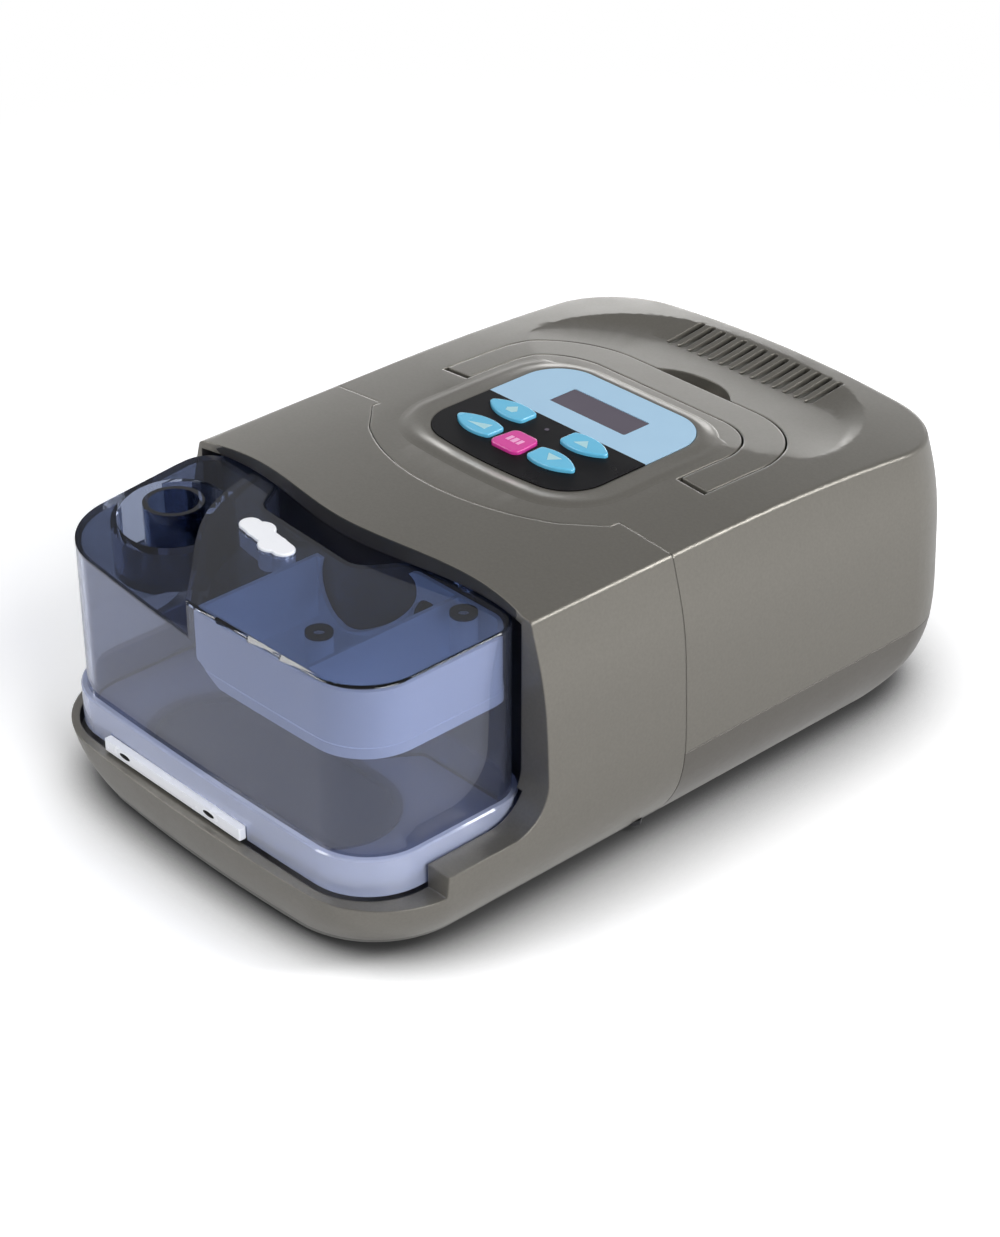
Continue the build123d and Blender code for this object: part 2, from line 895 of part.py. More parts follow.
# Screw bosses, spring pockets and the rails that carry the tank
with BuildPart() as front_bosses:
    boss_top = tray_floor - wall + cut_over
    for x, y in front_screw_spots:
        add_rod((x, y, plate_top), boss_top - plate_top, boss_radius, along_z)
    for x, y in spring_spots:
        add_rod((x, y, pocket_floor - wall), boss_top - pocket_floor + wall, spring_radius + wall, along_z)
    for x in (-rail_x, rail_x):
        add_block((x - rail_width / 2, rail_front, tray_floor - cut_over), (x + rail_width / 2, bay_rear, rail_top))
    add(outer_form.part, mode=Mode.INTERSECT)

with BuildPart() as humidifier_housing:
    add(outer_form.part)
    add(front_region.part, mode=Mode.INTERSECT)
    add(bay_space(0), mode=Mode.SUBTRACT)
    add(front_cavity.part, mode=Mode.SUBTRACT)
    add(front_bosses.part)
    for x, y in front_screw_spots:
        add_rod((x, y, plate_top), front_screw_depth, screw_radius + pin_clearance, along_z, mode=Mode.SUBTRACT)
    for x, y in spring_spots:
        pocket_radius = spring_radius + spring_clearance
        add_rod((x, y, pocket_floor), spring_pocket + cut_over, pocket_radius, along_z, mode=Mode.SUBTRACT)
    for start in (front_end - wall, bay_rear):
        add_rod((duct_x, start - cut_over, duct_z), wall + 2 * cut_over, duct_bore, along_y, mode=Mode.SUBTRACT)

with BuildPart() as humidifier_plate:
    add(outer_form.part)
    add_block((-far, -far, -far), (far, front_end, plate_top), mode=Mode.INTERSECT)
    for x, y in front_screw_spots:
        screw_bore = screw_radius + pin_clearance
        add_rod((x, y, 0), plate_top + cut_over, screw_bore, along_z, mode=Mode.SUBTRACT)
        add_rod((x, y, 0), front_seat_z, screw_head_radius + head_clearance, along_z, mode=Mode.SUBTRACT)

# Air duct through the humidifier, ending at the tank's rubber seal
with BuildPart() as humidifier_duct:
    duct_start = bay_rear + wall
    add_ring((duct_x, duct_start, duct_z), front_end - wall - duct_start, duct_radius, duct_bore, along_y)

with BuildPart() as port_seal:
    seal_start = tank_rear + seal_gap
    add_ring((duct_x, seal_start, duct_z), bay_rear - seal_start, duct_radius, duct_bore, along_y)

# Sprung heater plate in the tray, just under the tank's metal floor
with BuildPart() as heater_plate:
    add_prism(plate_outline(0), plate_seat - heater_thick, plate_seat, where=(0, heater_y))
    chamfer(heater_plate.edges().group_by(Axis.Z)[-1], small_chamfer)

with BuildPart() as heater_springs:
    spring_start = pocket_floor + heater_travel + pin_clearance
    spring_height = plate_seat - heater_thick - spring_start
    for x, y in spring_spots:
        add_ring((x, y, spring_start), spring_height, spring_radius, spring_radius - spring_wire, along_z)

# Clear cover of the water tank
deck_plane = Plane(
    origin=(0, 0, deck_height), x_dir=(1, 0, -deck_fall_right), z_dir=(deck_fall_right, -deck_fall_front, 1)
)


def deck_cut(grow):
    """What is cut away above the low left deck, up to the curved step."""
    with BuildPart() as cut:
        add_prism(swoosh_region(grow), flange_top, above_all)
        split(bisect_by=deck_plane.offset(-grow), keep=Keep.TOP)
    return cut.part


def cup_space(grow):
    """Round hollow round the hose outlet, left of the curved step."""
    with BuildPart() as cup:
        add_prism(swoosh_region(grow), cup_floor - grow, above_all)
        add_rod(
            (outlet_x, outlet_y, cup_floor - grow), above_all, cup_radius + grow, along_z, mode=Mode.INTERSECT
        )
    return cup.part


cover_foot = tank_bottom + tank_floor + gasket_height + cover_gap

with BuildPart() as tank_hollow:
    add_prism(tank_outline(-tank_wall), cover_foot, tank_top - tank_wall)
    add(deck_cut(tank_wall), mode=Mode.SUBTRACT)
    add(cup_space(tank_wall), mode=Mode.SUBTRACT)

with BuildPart() as tank_cover:
    add_prism(tank_outline(0), cover_foot, tank_top)
    fillet(tank_cover.faces().sort_by(Axis.Z)[-1].edges(), top_round)
    add(deck_cut(0), mode=Mode.SUBTRACT)
    add(cup_space(0), mode=Mode.SUBTRACT)
    add(tank_hollow.part, mode=Mode.SUBTRACT)
    spigot_low = cup_floor - tank_wall
    add_rod((outlet_x, outlet_y, 0), above_all, spigot_radius + pin_clearance, along_z, mode=Mode.SUBTRACT)
    stopper_hole = stopper_outline(seam_gap)
    stopper_spot = (stopper_x, stopper_y)
    add_prism(stopper_hole, tank_top - 2 * tank_wall, above_all, where=stopper_spot, mode=Mode.SUBTRACT)
    add_rod((duct_x, tank_rear - 2 * tank_wall, duct_z), 3 * tank_wall, duct_bore, along_y, mode=Mode.SUBTRACT)

# Outlet tube for the hose, its spigot set in the floor of the cup
with BuildPart() as outlet_tube:
    add_rod((outlet_x, outlet_y, cup_floor), outlet_length, outlet_radius, along_z)
    add_rod((outlet_x, outlet_y, spigot_low), tank_wall, spigot_radius, along_z)
    add_rod((outlet_x, outlet_y, 0), above_all, outlet_bore, along_z, mode=Mode.SUBTRACT)

# Base of the tank: a flange round the cover, a floor and a metal heat plate
latch_left = latch_x - latch_length / 2
latch_right = latch_x + latch_length / 2
notch_back = tank_front - tank_flange + notch_depth

with BuildPart() as tank_base:
    add_prism(tank_outline(tank_flange), tank_bottom, flange_top)
    chamfer(tank_base.faces().sort_by(Axis.Z)[-1].edges(), small_chamfer)
    add_prism(tank_outline(pin_clearance), tank_bottom + tank_floor, above_all, mode=Mode.SUBTRACT)
    add_prism(plate_outline(heat_margin), 0, above_all, where=(0, heater_y), mode=Mode.SUBTRACT)
    notch_top = latch_low + latch_height + latch_clearance
    notch_low = (latch_left - latch_clearance, -far, 0)
    add_block(notch_low, (latch_right + latch_clearance, notch_back, notch_top), mode=Mode.SUBTRACT)

with BuildPart() as tank_gasket:
    add_prism(tank_outline(-pin_clearance), tank_bottom + tank_floor, tank_bottom + tank_floor + gasket_height)
    add_prism(tank_outline(-tank_wall), 0, above_all, mode=Mode.SUBTRACT)

with BuildPart() as tank_heat_plate:
    floor_top = tank_bottom + tank_floor
    add_prism(plate_outline(heat_margin - pin_clearance), tank_bottom, floor_top, where=(0, heater_y))
    add_prism(plate_outline(heat_margin + heat_rim), floor_top, floor_top + heat_sheet, where=(0, heater_y))
    pan = plate_outline(heat_margin - heat_sheet)
    add_prism(pan, tank_bottom + heat_sheet, above_all, where=(0, heater_y), mode=Mode.SUBTRACT)

with BuildPart() as release_latch:
    latch_back = notch_back - latch_travel - seam_gap
    add_block((latch_left, latch_back - latch_thick, latch_low), (latch_right, latch_back, latch_low + latch_height))
    fillet(release_latch.edges().filter_by(Axis.Z), small_chamfer)

with BuildPart() as filler_stopper:
    add_prism(stopper_outline(0), tank_top - stopper_depth, tank_top + stopper_proud, where=(stopper_x, stopper_y))
    fillet(filler_stopper.faces().sort_by(Axis.Z)[-1].edges(), stopper_round)

# Air guide inside the tank: a tray with partitions, a scooped rear and two posts
def guide_outline(grow):
    with BuildSketch() as plan:
        add(tank_outline(-tank_wall - guide_gap + grow))
        with Locations((guide_left - grow - far, tank_front)):
            Rectangle(2 * far, 2 * far, mode=Mode.SUBTRACT)
    return plan.sketch


with BuildPart() as air_guide:
    add_prism(guide_outline(0), guide_floor, guide_top)
    add_prism(guide_outline(-guide_wall), guide_floor + guide_wall, above_all, mode=Mode.SUBTRACT)
    add_prism(guide_outline(guide_gap / 2), guide_floor, guide_floor + guide_band)
    add_prism(guide_outline(-guide_wall), guide_floor + guide_wall, guide_floor + guide_band, mode=Mode.SUBTRACT)
    wall_inset = tank_wall + guide_gap + guide_wall / 2
    add_block(
        (partition_x, tank_front + wall_inset, guide_floor),
        (partition_x + guide_wall, tank_rear - wall_inset, guide_top),
    )
    for x, y in post_spots:
        add_rod((x, y, guide_floor), guide_top - guide_floor, post_radius, along_z)
        add_rod((x, y, guide_floor + guide_wall), guide_top, post_bore, along_z, mode=Mode.SUBTRACT)
    # Scoop towards the rear, passage to the port, and the slanted front corner
    scoop_start = tank_scoop - 2 * wall_inset
    add_rod((scoop_x, scoop_start, guide_top - scoop_drop), -scoop_start, scoop_radius, along_y, mode=Mode.SUBTRACT)
    add_rod((duct_x, tank_rear - 3 * wall_inset, duct_z), 3 * wall_inset, duct_bore, along_y, mode=Mode.SUBTRACT)
    with BuildSketch(Plane(origin=(0, tank_front, 0), x_dir=along_x, z_dir=(0, -1, 0))) as corner:
        with BuildLine():
            low = guide_floor - cut_over
            Polyline(
                (guide_left - slant_width, low),
                (guide_left + slant_width, low),
                (guide_left - slant_width, guide_floor + slant_width),
                close=True,
            )
        make_face()
    extrude(corner.sketch, amount=-slant_width, mode=Mode.SUBTRACT)

with BuildPart() as post_rings:
    for x, y in post_spots:
        add_ring((x, y, guide_top), ring_height, post_radius + pin_clearance, post_bore, along_z)

# Carry handle and its two hinge pins
with BuildPart() as carry_handle:
    add_prism(handle_outline(0, handle_end), handle_bottom, above_all)
    add(top_form.part, mode=Mode.INTERSECT)
    low_front = carry_handle.edges().filter_by(Axis.X).group_by(Axis.Z)[0].sort_by(Axis.Y)[:2]
    fillet(low_front, handle_end_round)
    bore_length = handle_side + 2 * cut_over
    bore_start = handle_half_width - handle_side - cut_over
    for start in (bore_start, -bore_start - bore_length):
        pin_bore = pin_radius + pin_clearance
        add_rod((start, pivot_y, pivot_z), bore_length, pin_bore, along_x, mode=Mode.SUBTRACT)

with BuildPart() as handle_pins:
    for start in (pin_start, -pin_end):
        add_rod((start, pivot_y, pivot_z), pin_end - pin_start, pin_radius, along_x)

# Panel: fascia plate, black and blue overlays, window, display and key mat
key_bottom = fascia_bottom - key_flange_high - key_flange_gap


def key_openings(bottom, top, grow):
    for name, outline, spot in keys:
        add_prism(outline(grow), bottom, top, where=spot, mode=Mode.SUBTRACT)


with BuildSketch() as window_plan:
    Rectangle(window_width, window_depth)
    fillet(window_plan.vertices(), window_corner)

with BuildPart() as panel_fascia:
    fascia_top = panel_top - overlay_thick
    add_prism(panel_outline(0), fascia_bottom, fascia_top)
    key_openings(0, above_all, key_gap)
    add_prism(window_plan.sketch, 0, above_all, where=(0, window_y), mode=Mode.SUBTRACT)
    for x, y in panel_posts:
        add_rod((x, y, board_top), fascia_bottom - board_top, panel_post_radius, along_z)

with BuildPart() as key_overlay:
    add_prism(panel_outline(0), fascia_top, panel_top)
    add_block((-far, panel_split, 0), (far, far, above_all), mode=Mode.SUBTRACT)
    key_openings(0, above_all, key_gap)

with BuildPart() as display_overlay:
    add_prism(panel_outline(0), fascia_top, panel_top)
    add_block((-far, -far, 0), (far, panel_split, above_all), mode=Mode.SUBTRACT)
    add_prism(window_plan.sketch, 0, above_all, where=(0, window_y), mode=Mode.SUBTRACT)

with BuildPart() as display_window:
    with BuildSketch(Plane.XY.offset(panel_top - window_thick - window_sunk)) as pane:
        with Locations((0, window_y)):
            Rectangle(window_width - 2 * window_gap, window_depth - 2 * window_gap)
        fillet(pane.vertices(), window_corner)
    extrude(pane.sketch, amount=window_thick)

with BuildPart() as display_module:
    half_across = window_width / 2 + display_margin
    half_along = window_depth / 2 + display_margin
    add_block(
        (-half_across, window_y - half_along, board_top),
        (half_across, window_y + half_along, fascia_bottom - display_gap),
    )

with BuildPart() as control_board:
    add_prism(panel_outline(-seat_ledge - board_clearance), board_top - board_thick, board_top)

with BuildPart() as key_mat:
    mat_half = key_spacing + key_length / 2 + mat_margin
    mat_top = board_top + mat_thick
    dome_top = key_bottom - key_travel - dome_gap
    add_block(
        (key_x - mat_half, key_row_low - centre_key_depth / 2 - mat_margin, board_top),
        (key_x + mat_half, key_row_high + key_width / 2 + mat_margin, mat_top),
    )
    for name, outline, spot in keys:
        add_prism(outline(-dome_inset), mat_top, dome_top, where=spot)
    for x, y in panel_posts:
        add_rod((x, y, 0), above_all, panel_post_radius + head_clearance, along_z, mode=Mode.SUBTRACT)

key_parts = []
for name, outline, spot in keys:
    with BuildPart() as key:
        add_prism(outline(0), key_bottom, panel_top + key_proud, where=spot)
        fillet(key.faces().sort_by(Axis.Z)[-1].edges(), key_round)
        add_prism(outline(key_flange), key_bottom, key_bottom + key_flange_high, where=spot)
    key_parts.append((key, name))

# Blower: scroll housing, cover with its eye, wheel on the motor's shaft
blower_top = blower_bottom + blower_height
blower_duct_x = blower_x + blower_radius - blower_duct_radius - blower_wall - blower_duct_inset
blower_mid = blower_bottom + blower_height / 2
muffler_end = rear_start + wall + muffler_depth
motor_bottom = blower_bottom - motor_height
arm_radius = blower_radius - blower_foot_radius - blower_wall
arm_spots = [Vector(arm_radius, 0, 0).rotate(Axis.Z, 30 + 120 * turn) for turn in range(3)]

with BuildPart() as blower_housing:
    duct_start_y = muffler_end - cut_over
    duct_run = blower_y - muffler_end
    cavity_radius = blower_radius - blower_wall
    mount_top = plate_top + mount_height
    add_rod((blower_x, blower_y, blower_bottom), blower_height - blower_wall, blower_radius, along_z)
    add_rod((blower_duct_x, muffler_end, blower_mid), duct_run, blower_duct_radius + blower_wall, along_y)
    add_rod(
        (blower_x, blower_y, blower_bottom + blower_wall), blower_height, cavity_radius, along_z, mode=Mode.SUBTRACT
    )
    add_rod((blower_duct_x, duct_start_y, blower_mid), duct_run, blower_duct_radius, along_y, mode=Mode.SUBTRACT)
    add_rod((blower_x, blower_y, 0), blower_top, 2 * shaft_radius, along_z, mode=Mode.SUBTRACT)
    for arm in arm_spots:
        spot = (blower_x + arm.X, blower_y + arm.Y, mount_top)
        add_rod(spot, blower_bottom - mount_top, blower_foot_radius, along_z)

with BuildPart() as blower_mounts:
    for arm in arm_spots:
        add_rod((blower_x + arm.X, blower_y + arm.Y, plate_top), mount_height, mount_radius, along_z)

with BuildPart() as blower_cover:
    add_ring((blower_x, blower_y, blower_top - blower_wall), blower_wall, blower_radius, blower_eye, along_z)
    add_ring((blower_x, blower_y, blower_top), eye_collar, blower_eye + blower_wall, blower_eye, along_z)

with BuildPart() as blower_motor:
    add_rod((blower_x, blower_y, motor_bottom), motor_height, motor_radius, along_z)
    add_rod((blower_x, blower_y, 0), blower_top, shaft_radius + pin_clearance, along_z, mode=Mode.SUBTRACT)

wheel_bottom = blower_bottom + blower_wall + wheel_gap
with BuildPart() as blower_wheel:
    add_rod((blower_x, blower_y, wheel_bottom), wheel_disc, impeller_radius, along_z)
    add_rod((blower_x, blower_y, wheel_bottom), hub_height, hub_radius, along_z)
    for turn in range(blade_count):
        angle = turn * 360 / blade_count
        start = Vector(hub_radius + wheel_disc / 2, 0, 0).rotate(Axis.Z, angle)
        middle = Vector(impeller_radius * 0.6, 0, 0).rotate(Axis.Z, angle - blade_sweep / 3)
        tip = Vector(impeller_radius - blade_thick, 0, 0).rotate(Axis.Z, angle - blade_sweep)
        with BuildSketch(Plane.XY.offset(wheel_bottom + wheel_disc / 2)) as blade:
            with BuildLine():
                arc = ThreePointArc(
                    (blower_x + start.X, blower_y + start.Y),
                    (blower_x + middle.X, blower_y + middle.Y),
                    (blower_x + tip.X, blower_y + tip.Y),
                )
            trace(arc, line_width=blade_thick)
        extrude(blade.sketch, amount=impeller_height)
    add_rod((blower_x, blower_y, 0), above_all, shaft_radius, along_z, mode=Mode.SUBTRACT)

with BuildPart() as blower_shaft:
    shaft_start = motor_bottom + blower_wall
    add_rod((blower_x, blower_y, shaft_start), wheel_bottom + hub_height - shaft_start, shaft_radius, along_z)

# Silencer box between blower and outlet, foam at the inlet
muffler_start = rear_start + wall
muffler_low = (muffler_x - muffler_width / 2, muffler_start, muffler_bottom)
muffler_high = (muffler_x + muffler_width / 2, muffler_end, muffler_top)
with BuildPart() as muffler_box:
    add_block(muffler_low, muffler_high)
    add_block(grown(muffler_low, muffler_wall), grown(muffler_high, -muffler_wall), mode=Mode.SUBTRACT)
    hole_run = muffler_wall + 2 * cut_over
    rear_hole_y = muffler_end - muffler_wall - cut_over
    add_rod((duct_x, muffler_start - cut_over, duct_z), hole_run, duct_bore, along_y, mode=Mode.SUBTRACT)
    add_rod((blower_duct_x, rear_hole_y, blower_mid), hole_run, blower_duct_radius, along_y, mode=Mode.SUBTRACT)

with BuildPart() as inlet_foam:
    foam_rear = service_y - wall - running_clearance
    add_block(
        (filter_low[0], foam_rear - foam_depth, filter_low[2]), (filter_high[0], foam_rear, filter_high[2])
    )

# Boards and rear services
with BuildPart() as main_board:
    add_block(board_low, (board_high[0], board_high[1], board_z + board_thick))

with BuildPart() as power_inlet:
    inlet_back = service_y - wall - pin_clearance
    inlet_start = inlet_back - inlet_body
    socket_start = service_y - inlet_socket
    add_rod((inlet_x, inlet_start, inlet_z), service_y + inlet_proud - inlet_start, inlet_radius, along_y)
    add_block(
        (inlet_x - inlet_body / 2, inlet_start, inlet_z - inlet_body / 2),
        (inlet_x + inlet_body / 2, inlet_back, inlet_z + inlet_body / 2),
    )
    add_rod((inlet_x, socket_start, inlet_z), far, inlet_bore, along_y, mode=Mode.SUBTRACT)
    add_rod((inlet_x, socket_start - inlet_pin, inlet_z), inlet_socket, inlet_pin, along_y)

with BuildPart() as switch_frame:
    half_width = switch_width / 2 - pin_clearance
    half_height = switch_height / 2 - pin_clearance
    add_block(
        (switch_x - half_width, service_y - switch_depth, inlet_z - half_height),
        (switch_x + half_width, service_y, inlet_z + half_height),
    )
    add_block(
        (switch_x - half_width - switch_wall, service_y, inlet_z - half_height - switch_wall),
        (switch_x + half_width + switch_wall, service_y + switch_bezel, inlet_z + half_height + switch_wall),
    )
    well_half = half_width - switch_wall
    well_rise = half_height - switch_wall
    well_low = (switch_x - well_half, service_y - switch_depth + switch_wall, inlet_z - well_rise)
    add_block(well_low, (switch_x + well_half, far, inlet_z + well_rise), mode=Mode.SUBTRACT)

rocker_reach = half_height - switch_wall - rocker_clearance
rocker_half = half_width - switch_wall - running_clearance
with BuildPart() as power_switch:
    with BuildSketch(Plane.YZ.offset(switch_x - rocker_half)) as rocker:
        with BuildLine():
            Polyline(
                (service_y - rocker_depth, inlet_z - rocker_root),
                (service_y + rocker_proud, inlet_z - rocker_reach),
                (service_y + rocker_proud / 2, inlet_z),
                (service_y + rocker_proud, inlet_z + rocker_reach),
                (service_y - rocker_depth, inlet_z + rocker_root),
                close=True,
            )
        make_face()
    extrude(rocker.sketch, amount=2 * rocker_half)

with BuildPart() as memory_card:
    add_block(
        (card_x - card_width / 2, service_y + card_out - card_length, inlet_z - card_thick / 2),
        (card_x + card_width / 2, service_y + card_out, inlet_z + card_thick / 2),
    )
    chamfer(memory_card.edges().filter_by(Axis.Z).sort_by(Axis.Y)[:1], card_corner)

with BuildPart() as card_socket:
    socket_rear = service_y - wall - running_clearance
    card_front = service_y + card_out - card_length
    slot_half = card_width / 2 + card_clearance
    shell_half = slot_half + socket_wall
    shell_rise = card_hole + socket_wall
    add_block(
        (card_x - shell_half, card_front - card_clearance - socket_wall, inlet_z - shell_rise),
        (card_x + shell_half, socket_rear, inlet_z + shell_rise),
    )
    add_block(
        (card_x - slot_half, card_front - card_clearance, inlet_z - card_hole),
        (card_x + slot_half, service_y, inlet_z + card_hole),
        mode=Mode.SUBTRACT,
    )

filter_rear = service_y + filter_thick
with BuildPart() as air_filter:
    add_block(
        (filter_low[0] + filter_gap, service_y, filter_low[2] + filter_gap),
        (filter_high[0] - filter_gap, filter_rear, filter_high[2] - filter_gap),
    )

with BuildPart() as filter_cover:
    cover_start = filter_rear + running_clearance
    add_block(
        (filter_low[0] + filter_gap, cover_start, filter_low[2] + filter_gap),
        (filter_high[0] - filter_gap, cover_start + filter_cover_thick, filter_high[2] - filter_gap),
    )
    fillet(filter_cover.edges().filter_by(Axis.Y), filter_corner)
    with BuildSketch(Plane(origin=(filter_x, cover_start, filter_z), z_dir=along_y)) as louvres:
        with GridLocations(1, louvre_pitch, 1, louvre_count):
            SlotOverall(filter_width - 2 * louvre_margin, louvre_width)
    extrude(louvres.sketch, amount=filter_cover_thick, mode=Mode.SUBTRACT)

# Feet and screws
with BuildPart() as main_feet:
    for x, y in main_foot_spots:
        add_rod((x, y, 0), foot_height, foot_radius, along_z)
    chamfer(main_feet.edges().group_by(Axis.Z)[0], small_chamfer)

with BuildPart() as humidifier_feet:
    for x, y in front_foot_spots:
        add_rod((x, y, 0), foot_height, foot_radius, along_z)
    chamfer(humidifier_feet.edges().group_by(Axis.Z)[0], small_chamfer)

with BuildPart() as case_screws:
    for x, y in screw_spots:
        add_rod((x, y, screw_seat_z - screw_head_height), screw_head_height, screw_head_radius, along_z)
        add_rod((x, y, screw_seat_z), screw_length, screw_radius, along_z)

with BuildPart() as humidifier_screws:
    for x, y in front_screw_spots:
        add_rod((x, y, front_seat_z - front_head_height), front_head_height, screw_head_radius, along_z)
        add_rod((x, y, front_seat_z), front_screw_length, screw_radius, along_z)

pieces = [
    (main_cover, "main_cover"),
    (main_base, "main_base"),
    (humidifier_housing, "humidifier_housing"),
    (humidifier_plate, "humidifier_plate"),
    (humidifier_duct, "humidifier_duct"),
    (port_seal, "port_seal"),
    (heater_plate, "heater_plate"),
    (heater_springs, "heater_springs"),
    (tank_cover, "tank_cover"),
    (outlet_tube, "outlet_tube"),
    (tank_base, "tank_base"),
    (tank_gasket, "tank_gasket"),
    (tank_heat_plate, "tank_heat_plate"),
    (release_latch, "release_latch"),
    (filler_stopper, "filler_stopper"),
    (air_guide, "air_guide"),
    (post_rings, "post_rings"),
    (carry_handle, "carry_handle"),
    (handle_pins, "handle_pins"),
    (panel_fascia, "panel_fascia"),
    (key_overlay, "key_overlay"),
    (display_overlay, "display_overlay"),
    (display_window, "display_window"),
    (display_module, "display_module"),
    (control_board, "control_board"),
    (key_mat, "key_mat"),
    *key_parts,
    (blower_housing, "blower_housing"),
    (blower_mounts, "blower_mounts"),
    (blower_cover, "blower_cover"),
    (blower_motor, "blower_motor"),
    (blower_wheel, "blower_wheel"),
    (blower_shaft, "blower_shaft"),
    (muffler_box, "muffler_box"),
    (inlet_foam, "inlet_foam"),
    (main_board, "main_board"),
    (power_inlet, "power_inlet"),
    (switch_frame, "switch_frame"),
    (power_switch, "power_switch"),
    (memory_card, "memory_card"),
    (card_socket, "card_socket"),
    (air_filter, "air_filter"),
    (filter_cover, "filter_cover"),
    (main_feet, "main_feet"),
    (humidifier_feet, "humidifier_feet"),
    (case_screws, "case_screws"),
    (humidifier_screws, "humidifier_screws"),
]
for piece, name in pieces:
    write(piece, name)
    print(name, piece.part.is_valid, len(piece.part.solids()), round(piece.part.volume))
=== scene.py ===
import json
import math
import bmesh
import bpy
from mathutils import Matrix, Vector, bvhtree, geometry


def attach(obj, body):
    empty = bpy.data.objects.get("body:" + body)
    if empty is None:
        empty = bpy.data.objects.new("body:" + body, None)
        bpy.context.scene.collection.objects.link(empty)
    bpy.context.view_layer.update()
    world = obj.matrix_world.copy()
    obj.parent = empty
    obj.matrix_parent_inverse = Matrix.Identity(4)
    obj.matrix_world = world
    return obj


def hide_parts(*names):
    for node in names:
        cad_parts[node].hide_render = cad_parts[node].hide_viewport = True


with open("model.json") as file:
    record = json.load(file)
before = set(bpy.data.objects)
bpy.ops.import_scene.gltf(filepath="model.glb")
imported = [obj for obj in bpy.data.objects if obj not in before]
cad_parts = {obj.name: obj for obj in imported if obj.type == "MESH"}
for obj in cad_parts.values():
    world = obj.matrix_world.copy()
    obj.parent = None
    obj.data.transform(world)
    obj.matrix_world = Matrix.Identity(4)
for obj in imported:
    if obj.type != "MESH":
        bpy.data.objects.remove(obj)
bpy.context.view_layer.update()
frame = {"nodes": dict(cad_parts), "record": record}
nodes = frame["nodes"]
record = frame["record"]
mm = 0.001


def hexColour(code):
    # sRGB hex to the linear values that Blender's sockets take
    parts = [int(code[i:i + 2], 16) / 255 for i in (1, 3, 5)]
    return tuple(c / 12.92 if c <= 0.04045 else ((c + 0.055) / 1.055) ** 2.4 for c in parts) + (1.0,)


def addNode(tree, kind, settings=None, **links):
    # one node with its settings; each link is a socket's name (spaces as _) or i and its number
    node = tree.nodes.new(kind)
    for key, value in (settings or {}).items():
        setattr(node, key, value)
    for key, value in links.items():
        numbered = key[0] == "i" and key[1:].isdigit()
        socket = node.inputs[int(key[1:])] if numbered else node.inputs[key.replace("_", " ")]
        if isinstance(value, bpy.types.NodeSocket):
            tree.links.new(value, socket)
        else:
            socket.default_value = value
    return node


def newMaterial(name):
    material = bpy.data.materials.new(name)
    material.use_nodes = True
    tree = material.node_tree
    tree.nodes.clear()
    return material, tree, addNode(tree, "ShaderNodeOutputMaterial")


def objectPlace(tree):
    return addNode(tree, "ShaderNodeTexCoord").outputs["Object"]


def wear(tree, place, scale, low, high):
    # a value that wanders between low and high over the surface
    noise = addNode(tree, "ShaderNodeTexNoise", Vector=place, Scale=scale, Detail=3.0)
    spread = addNode(tree, "ShaderNodeMapRange", Value=noise.outputs["Fac"], From_Min=0.3, From_Max=0.7,
                     To_Min=low, To_Max=high)
    return spread.outputs["Result"]


def tinted(tree, place, scale, first, second):
    # two close colours blended by a soft noise; sockets 6 and 7 of the node are its two colours
    noise = addNode(tree, "ShaderNodeTexNoise", Vector=place, Scale=scale, Detail=3.0)
    mix = addNode(tree, "ShaderNodeMix", {"data_type": "RGBA"}, i0=noise.outputs["Fac"],
                  i6=hexColour(first), i7=hexColour(second))
    return mix.outputs[2]


# silver-grey lacquer on moulded ABS: fine metal flecks give a satin sheen, and its edges are slightly round
casing = {"base": "#6e6b64", "fleck": "#7a7770", "metallic": 0.55, "roughness": 0.33, "uneven": 0.03,
          "fleckPerMetre": 900.0, "wearPerMetre": 60.0, "grain": 0.05, "grainHeight": 0.05 * mm, "edge": 1.0 * mm}
# painted shade: darker copies of the lacquer, a dark dull one on the faces inside the tank's bay and a slightly
# darker one on the lower case, which tucks in below the cover
bayShadeSurface = dict(casing, base="#1f1e1f", fleck="#232223", metallic=0.1, roughness=0.5)
shadedLowerCase = dict(casing, base="#5d5a54", fleck="#686560")


def makeCasingPaint(name, look):
    material, tree, output = newMaterial(name)
    place = objectPlace(tree)
    colour = tinted(tree, place, look["fleckPerMetre"], look["base"], look["fleck"])
    uneven = look["uneven"]
    rough = wear(tree, place, look["wearPerMetre"], look["roughness"] - uneven, look["roughness"] + uneven)
    grain = addNode(tree, "ShaderNodeTexNoise", Vector=place, Scale=2 * look["fleckPerMetre"], Detail=2.0)
    rounded = addNode(tree, "ShaderNodeBevel", {"samples": 6}, Radius=look["edge"])
    bump = addNode(tree, "ShaderNodeBump", Strength=look["grain"], Distance=look["grainHeight"],
                   Height=grain.outputs["Fac"], Normal=rounded.outputs["Normal"])
    shader = addNode(tree, "ShaderNodeBsdfPrincipled", Base_Color=colour, Metallic=look["metallic"],
                     Roughness=rough, Normal=bump.outputs["Normal"])
    tree.links.new(shader.outputs[0], output.inputs["Surface"])
    return material


# smoke-blue polycarbonate, injection moulded: a glossy skin over a cloudy tint. The walls and the flange each have
# their own tint, and the top's darker tint is painted shade for the dark bay seen through it
tankWall = {"tint": "#a3a9bc", "roughness": 0.01, "ior": 1.32, "clear": 0.95, "gloss": 0.6}
tankDeckShade = {"tint": "#758098", "roughness": 0.01, "ior": 1.38, "clear": 1.0, "gloss": 0.4}
tankFlange = {"tint": "#c4cbe0", "roughness": 0.05, "ior": 1.35, "clear": 0.6, "gloss": 0.6}
# milky polypropylene: scatters light, so its walls look lit from inside
guideMilk = {"tint": "#f6faff", "roughness": 0.3, "ior": 1.3, "clear": 0.12, "gloss": 0.0}
skinRoughness = 0.03


